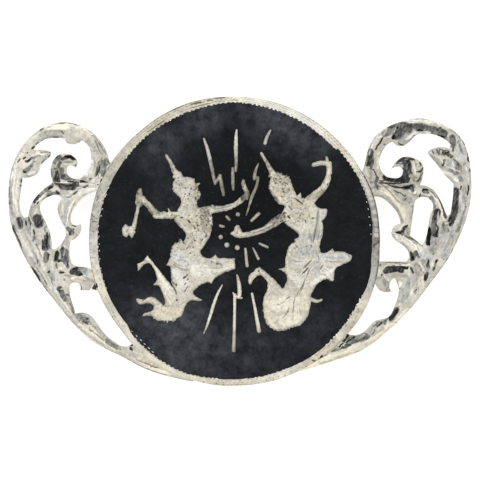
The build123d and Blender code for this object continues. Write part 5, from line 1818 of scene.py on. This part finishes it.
@dataclass
class RimTeeth:
    """Small rounded teeth along the rim's inner edge, and loose ones beside it."""

    sizes: BroochSizes
    finish: SilverFinish = RIM_SILVER
    half_width: float = 0.19  # millimetres along the edge
    half_height: float = 0.06
    loose_height: float = 0.05
    lift: float = 0.02  # middle of a tooth above the niello
    drift: float = 0.22  # share of the pitch that a tooth strays by
    length_range: tuple[float, float] = (0.45, 1.15)
    width_range: tuple[float, float] = (0.75, 1.2)
    segments: int = 8
    rings: int = 5
    seed: int = 51
    # start, end and pitch of each stretch in degrees, and half the length of its teeth in
    # millimetres
    stretches: tuple[Row, ...] = (
        (18, 30, 1.9, 0.05), (30, 42, 1.9, 0.09), (42, 60, 1.9, 0.05), (60, 88, 1.9, 0.12),
        (88, 96, 1.9, 0.06), (96, 112, 1.9, 0.09), (112, 145, 1.9, 0.08),
        (157, 203, 3.2, 0.06), (225, 265, 1.9, 0.07), (275, 300, 1.9, 0.06),
        (312, 338, 1.9, 0.07),
    )
    # half the length across and half the length along of loose ones, then degrees and disc
    # share of each
    loose: tuple[Row, ...] = (
        (0.06, 0.13, 6.8, 0.942, 10.2, 0.944, 13.5, 0.9485, 16.5, 0.9515),
        (0.06, 0.12, 160, 0.939, 166.3, 0.9355, 169.2, 0.9358, 178, 0.934, 181.2, 0.933,
         184, 0.934, 187.5, 0.936),
        (0.05, 0.12, 3, 0.943, 191.5, 0.940, 194, 0.940, 197, 0.940, 200, 0.940,
         327.5, 0.947, 329.5, 0.949, 332.5, 0.949, 335.3, 0.949),
        (0.06, 0.18, 224.1, 0.939, 226.6, 0.938, 228.9, 0.9405, 233.6, 0.9485),
        (0.07, 0.19, 231.3, 0.944), (0.05, 0.10, 221.3, 0.941),
    )

    def _seats(self) -> np.ndarray:
        """Work out where each tooth sits.

        Returns:
            Its place, its turn, and its half length, width and height, in nine columns.
        """
        sizes, rows = self.sizes, []
        hand = np.random.default_rng(self.seed)
        for start, end, pitch, full in self.stretches:
            for angle in np.arange(start, end - pitch / 2, pitch):
                turn = radians(angle + pitch * hand.uniform(-self.drift, self.drift))
                length = full * hand.uniform(*self.length_range)
                out = float(rim_course(turn, Course.INNER)) * sizes.disc_radius
                rows.append((*sizes.polar(out, turn), sizes.niello_z + self.lift, 0, 0, turn,
                             length, self.half_width * hand.uniform(*self.width_range),
                             self.half_height))
        for length, width, *seats in self.loose:
            for angle, share in zip(seats[::2], seats[1::2]):
                turn = radians(angle)
                rows.append((*sizes.polar(share * sizes.disc_radius, turn), sizes.niello_z,
                             0, 0, turn, length, width, self.loose_height))
        return np.array(rows)

    def _tree(self) -> bpy.types.NodeTree:
        """Build the node tree that sets one rounded tooth at every seat.

        Returns:
            The tree.
        """
        tree = bpy.data.node_groups.new("rim_teeth", "GeometryNodeTree")
        for name, way, kind in (
                ("Geometry", "INPUT", "Geometry"), ("Segments", "INPUT", "Int"),
                ("Rings", "INPUT", "Int"), ("Finish", "INPUT", "Material"),
                ("Geometry", "OUTPUT", "Geometry")):
            tree.interface.new_socket(name, in_out=way, socket_type=f"NodeSocket{kind}")
        sheet = NodeSheet(tree)
        given = sheet.add("NodeGroupInput").outputs
        turn, scale = (sheet.add("GeometryNodeInputNamedAttribute", {"Name": name},
                                 data_type="FLOAT_VECTOR").outputs[0]
                       for name in ("turn", "tooth"))
        tooth = sheet.add("GeometryNodeMeshUVSphere", {
            "Segments": given["Segments"], "Rings": given["Rings"], "Radius": 1.0})
        smooth = sheet.add("GeometryNodeSetShadeSmooth", {0: tooth.outputs[0]})
        placed = sheet.add("GeometryNodeInstanceOnPoints", {
            "Points": given["Geometry"], "Instance": smooth.outputs[0], "Rotation": turn,
            "Scale": scale})
        real = sheet.add("GeometryNodeRealizeInstances", {0: placed.outputs[0]})
        dressed = sheet.add("GeometryNodeSetMaterial", {
            "Geometry": real.outputs[0], "Material": given["Finish"]})
        sheet.add("NodeGroupOutput", {0: dressed.outputs[0]})
        return tree

    def build(self) -> None:
        """Build and dress the teeth."""
        rows = self._seats()
        seats = bpy.data.meshes.new("rim_teeth_seats")
        seats.from_pydata((rows[:, :3] * MM).tolist(), [], [])
        for name, part in (("turn", rows[:, 3:6]), ("tooth", rows[:, 6:] * MM)):
            layer = seats.attributes.new(name, "FLOAT_VECTOR", "POINT")
            layer.data.foreach_set("vector", part.astype(np.float32).ravel())
        host = new_object("rim_teeth_host", seats)
        material = self.finish.material()
        modifier = host.modifiers.new("teeth", "NODES")
        modifier.node_group = self._tree()
        given = {"Segments": self.segments, "Rings": self.rings, "Finish": material}
        for item in modifier.node_group.interface.items_tree:
            if item.in_out == "INPUT" and item.name in given:
                modifier[item.identifier] = given[item.name]
        graph = bpy.context.evaluated_depsgraph_get()
        mesh = bpy.data.meshes.new_from_object(host.evaluated_get(graph))
        host.modifiers.clear()
        bpy.data.objects.remove(host)
        mesh.name = "rim_teeth"
        dress(new_object("rim_teeth", mesh), material, "silver", "silver_body")


@dataclass
class Plaque:
    """The round middle of the brooch: disc, niello, dancers, bolts and the rim's teeth."""

    sizes: BroochSizes
    nodes: dict[str, Thing]
    dancer_area: float = 20.0  # square millimetres above which an inlay is a dancer

    def build(self) -> None:
        """Build and dress every piece of the plaque."""
        sizes = self.sizes
        outlines = flat_outlines(self.nodes["niello_field"], sizes.niello_z, upward=True)
        holes = [hole for hole in outlines if outline_area(hole) < 0]
        dancers = [hole for hole in holes if outline_area(hole) < -self.dancer_area]
        bolts = [hole for hole in holes if outline_area(hole) >= -self.dancer_area]
        dancers.sort(key=lambda hole: hole[:, 0].mean())
        DiscRim(sizes).build()
        NielloField(sizes).build()
        InlaidFigure("left_dancer", sizes, dancers[:1], LEFT_DANCER_SHADES, LEFT_ENGRAVING,
                     LEFT_PUNCHES, LEFT_HEMS).build()
        InlaidFigure("right_dancer", sizes, dancers[1:], RIGHT_DANCER_SHADES, RIGHT_ENGRAVING,
                     RIGHT_PUNCHES, RIGHT_HEMS).build()
        InlaidFigure("bolts_and_sparks", sizes, bolts, BOLT_SHADES, overlap=-0.015,
                     ragged=0.012, base_tone=0.24).build()
        RimTeeth(sizes).build()


@dataclass
class Studio:
    """Pale floor, soft light and the camera straight above the brooch."""

    sizes: BroochSizes
    picture_width: float = 59.06  # millimetres across the picture at the brooch's face
    view_x: float = 0.01
    view_y: float = 0.15
    camera_height: float = 600.0
    sensor_width: float = 36.0
    zenith: float = 0.93
    horizon: float = 0.40
    lamp_side: float = 0.8  # metres, as are the lamps' places and the floor
    floor_side: float = 3.0
    # place and watts of each lamp
    lamps: tuple[tuple[str, Row, float], ...] = (
        ("key", (-0.36, 0.42, 0.70), 1.6), ("fill", (0.55, -0.10, 0.55), 0.9))

    def _world(self) -> None:
        """Soft surround, brighter overhead than at the horizon."""
        world = bpy.data.worlds.new("studio")
        bpy.context.scene.world = world
        world.use_nodes = True
        sheet = NodeSheet(world.node_tree)
        way = sheet.add("ShaderNodeTexCoord").outputs["Generated"]
        up = sheet.add("ShaderNodeSeparateXYZ", {0: way}).outputs["Z"]
        colour = sheet.ramp(up, (0.0, (self.horizon,) * 3), (0.45, (self.horizon,) * 3),
                            (0.92, (self.zenith,) * 3))
        back = sheet.add("ShaderNodeBackground", {"Color": colour, "Strength": 1.0})
        sheet.add("ShaderNodeOutputWorld", {"Surface": back.outputs[0]})

    def _lamps(self) -> None:
        """Hang the square soft lamps, which look at the brooch."""
        for name, place, power in self.lamps:
            lamp = bpy.data.lights.new(name, "AREA")
            lamp.size = self.lamp_side
            lamp.energy = power
            holder = new_object(name, lamp)
            holder.location = place
            holder.rotation_mode = "QUATERNION"
            holder.rotation_quaternion = holder.location.to_track_quat("Z", "Y")

    def _floor(self) -> None:
        """Lay the plain pale floor."""
        side = self.floor_side
        mesh = bpy.data.meshes.new("floor")
        mesh.from_pydata([(-side, -side, 0), (side, -side, 0), (side, side, 0),
                          (-side, side, 0)], [], [(0, 1, 2, 3)])
        mesh.materials.append(Coat("floor").finish({
            "Base Color": (0.92, 0.92, 0.92, 1), "Roughness": 0.9, "Specular IOR Level": 0.1,
            "Emission Color": (1, 1, 1, 1), "Emission Strength": 0.62}))
        new_object("floor", mesh)

    def _camera(self) -> None:
        """Hang the camera straight above the brooch."""
        lens = bpy.data.cameras.new("camera")
        lens.sensor_width = self.sensor_width
        lens.lens = self.sensor_width * self.camera_height / self.picture_width
        lens.clip_start, lens.clip_end = 0.01, 20
        camera = new_object("camera", lens)
        camera.location = (self.view_x * MM, self.view_y * MM,
                           (self.camera_height + self.sizes.figure_z) * MM)
        bpy.context.scene.camera = camera

    def build(self) -> None:
        """Set up the whole studio."""
        self._camera()
        self._world()
        self._floor()
        self._lamps()
        bpy.context.scene.view_settings.view_transform = "Standard"


def main(frame: dict) -> None:
    """Build the brooch and its studio.
    """
    nodes = frame["nodes"]
    sizes = BroochSizes.from_nodes(nodes)
    outlines = flat_outlines(nodes["silver_body"], sizes.back_z, upward=False)
    Studio(sizes).build()
    Plaque(sizes, nodes).build()
    Wing(sizes, outlines, Side.LEFT, 17.67, 0.20, LEFT_SCROLLS, LEFT_SHADES, LEFT_CUTS,
         LEFT_LIGHTS).build()
    Wing(sizes, outlines, Side.RIGHT, 18.04, 0.24, RIGHT_SCROLLS, RIGHT_SHADES, RIGHT_CUTS,
         RIGHT_LIGHTS).build()
    dress(nodes["brooch_pin"], PinFinish().material(), "pin_metal")


if __name__ == "__main__":
    logging.basicConfig(level=logging.INFO, format="%(name)s %(message)s")
    brooch_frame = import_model()
    main(brooch_frame)
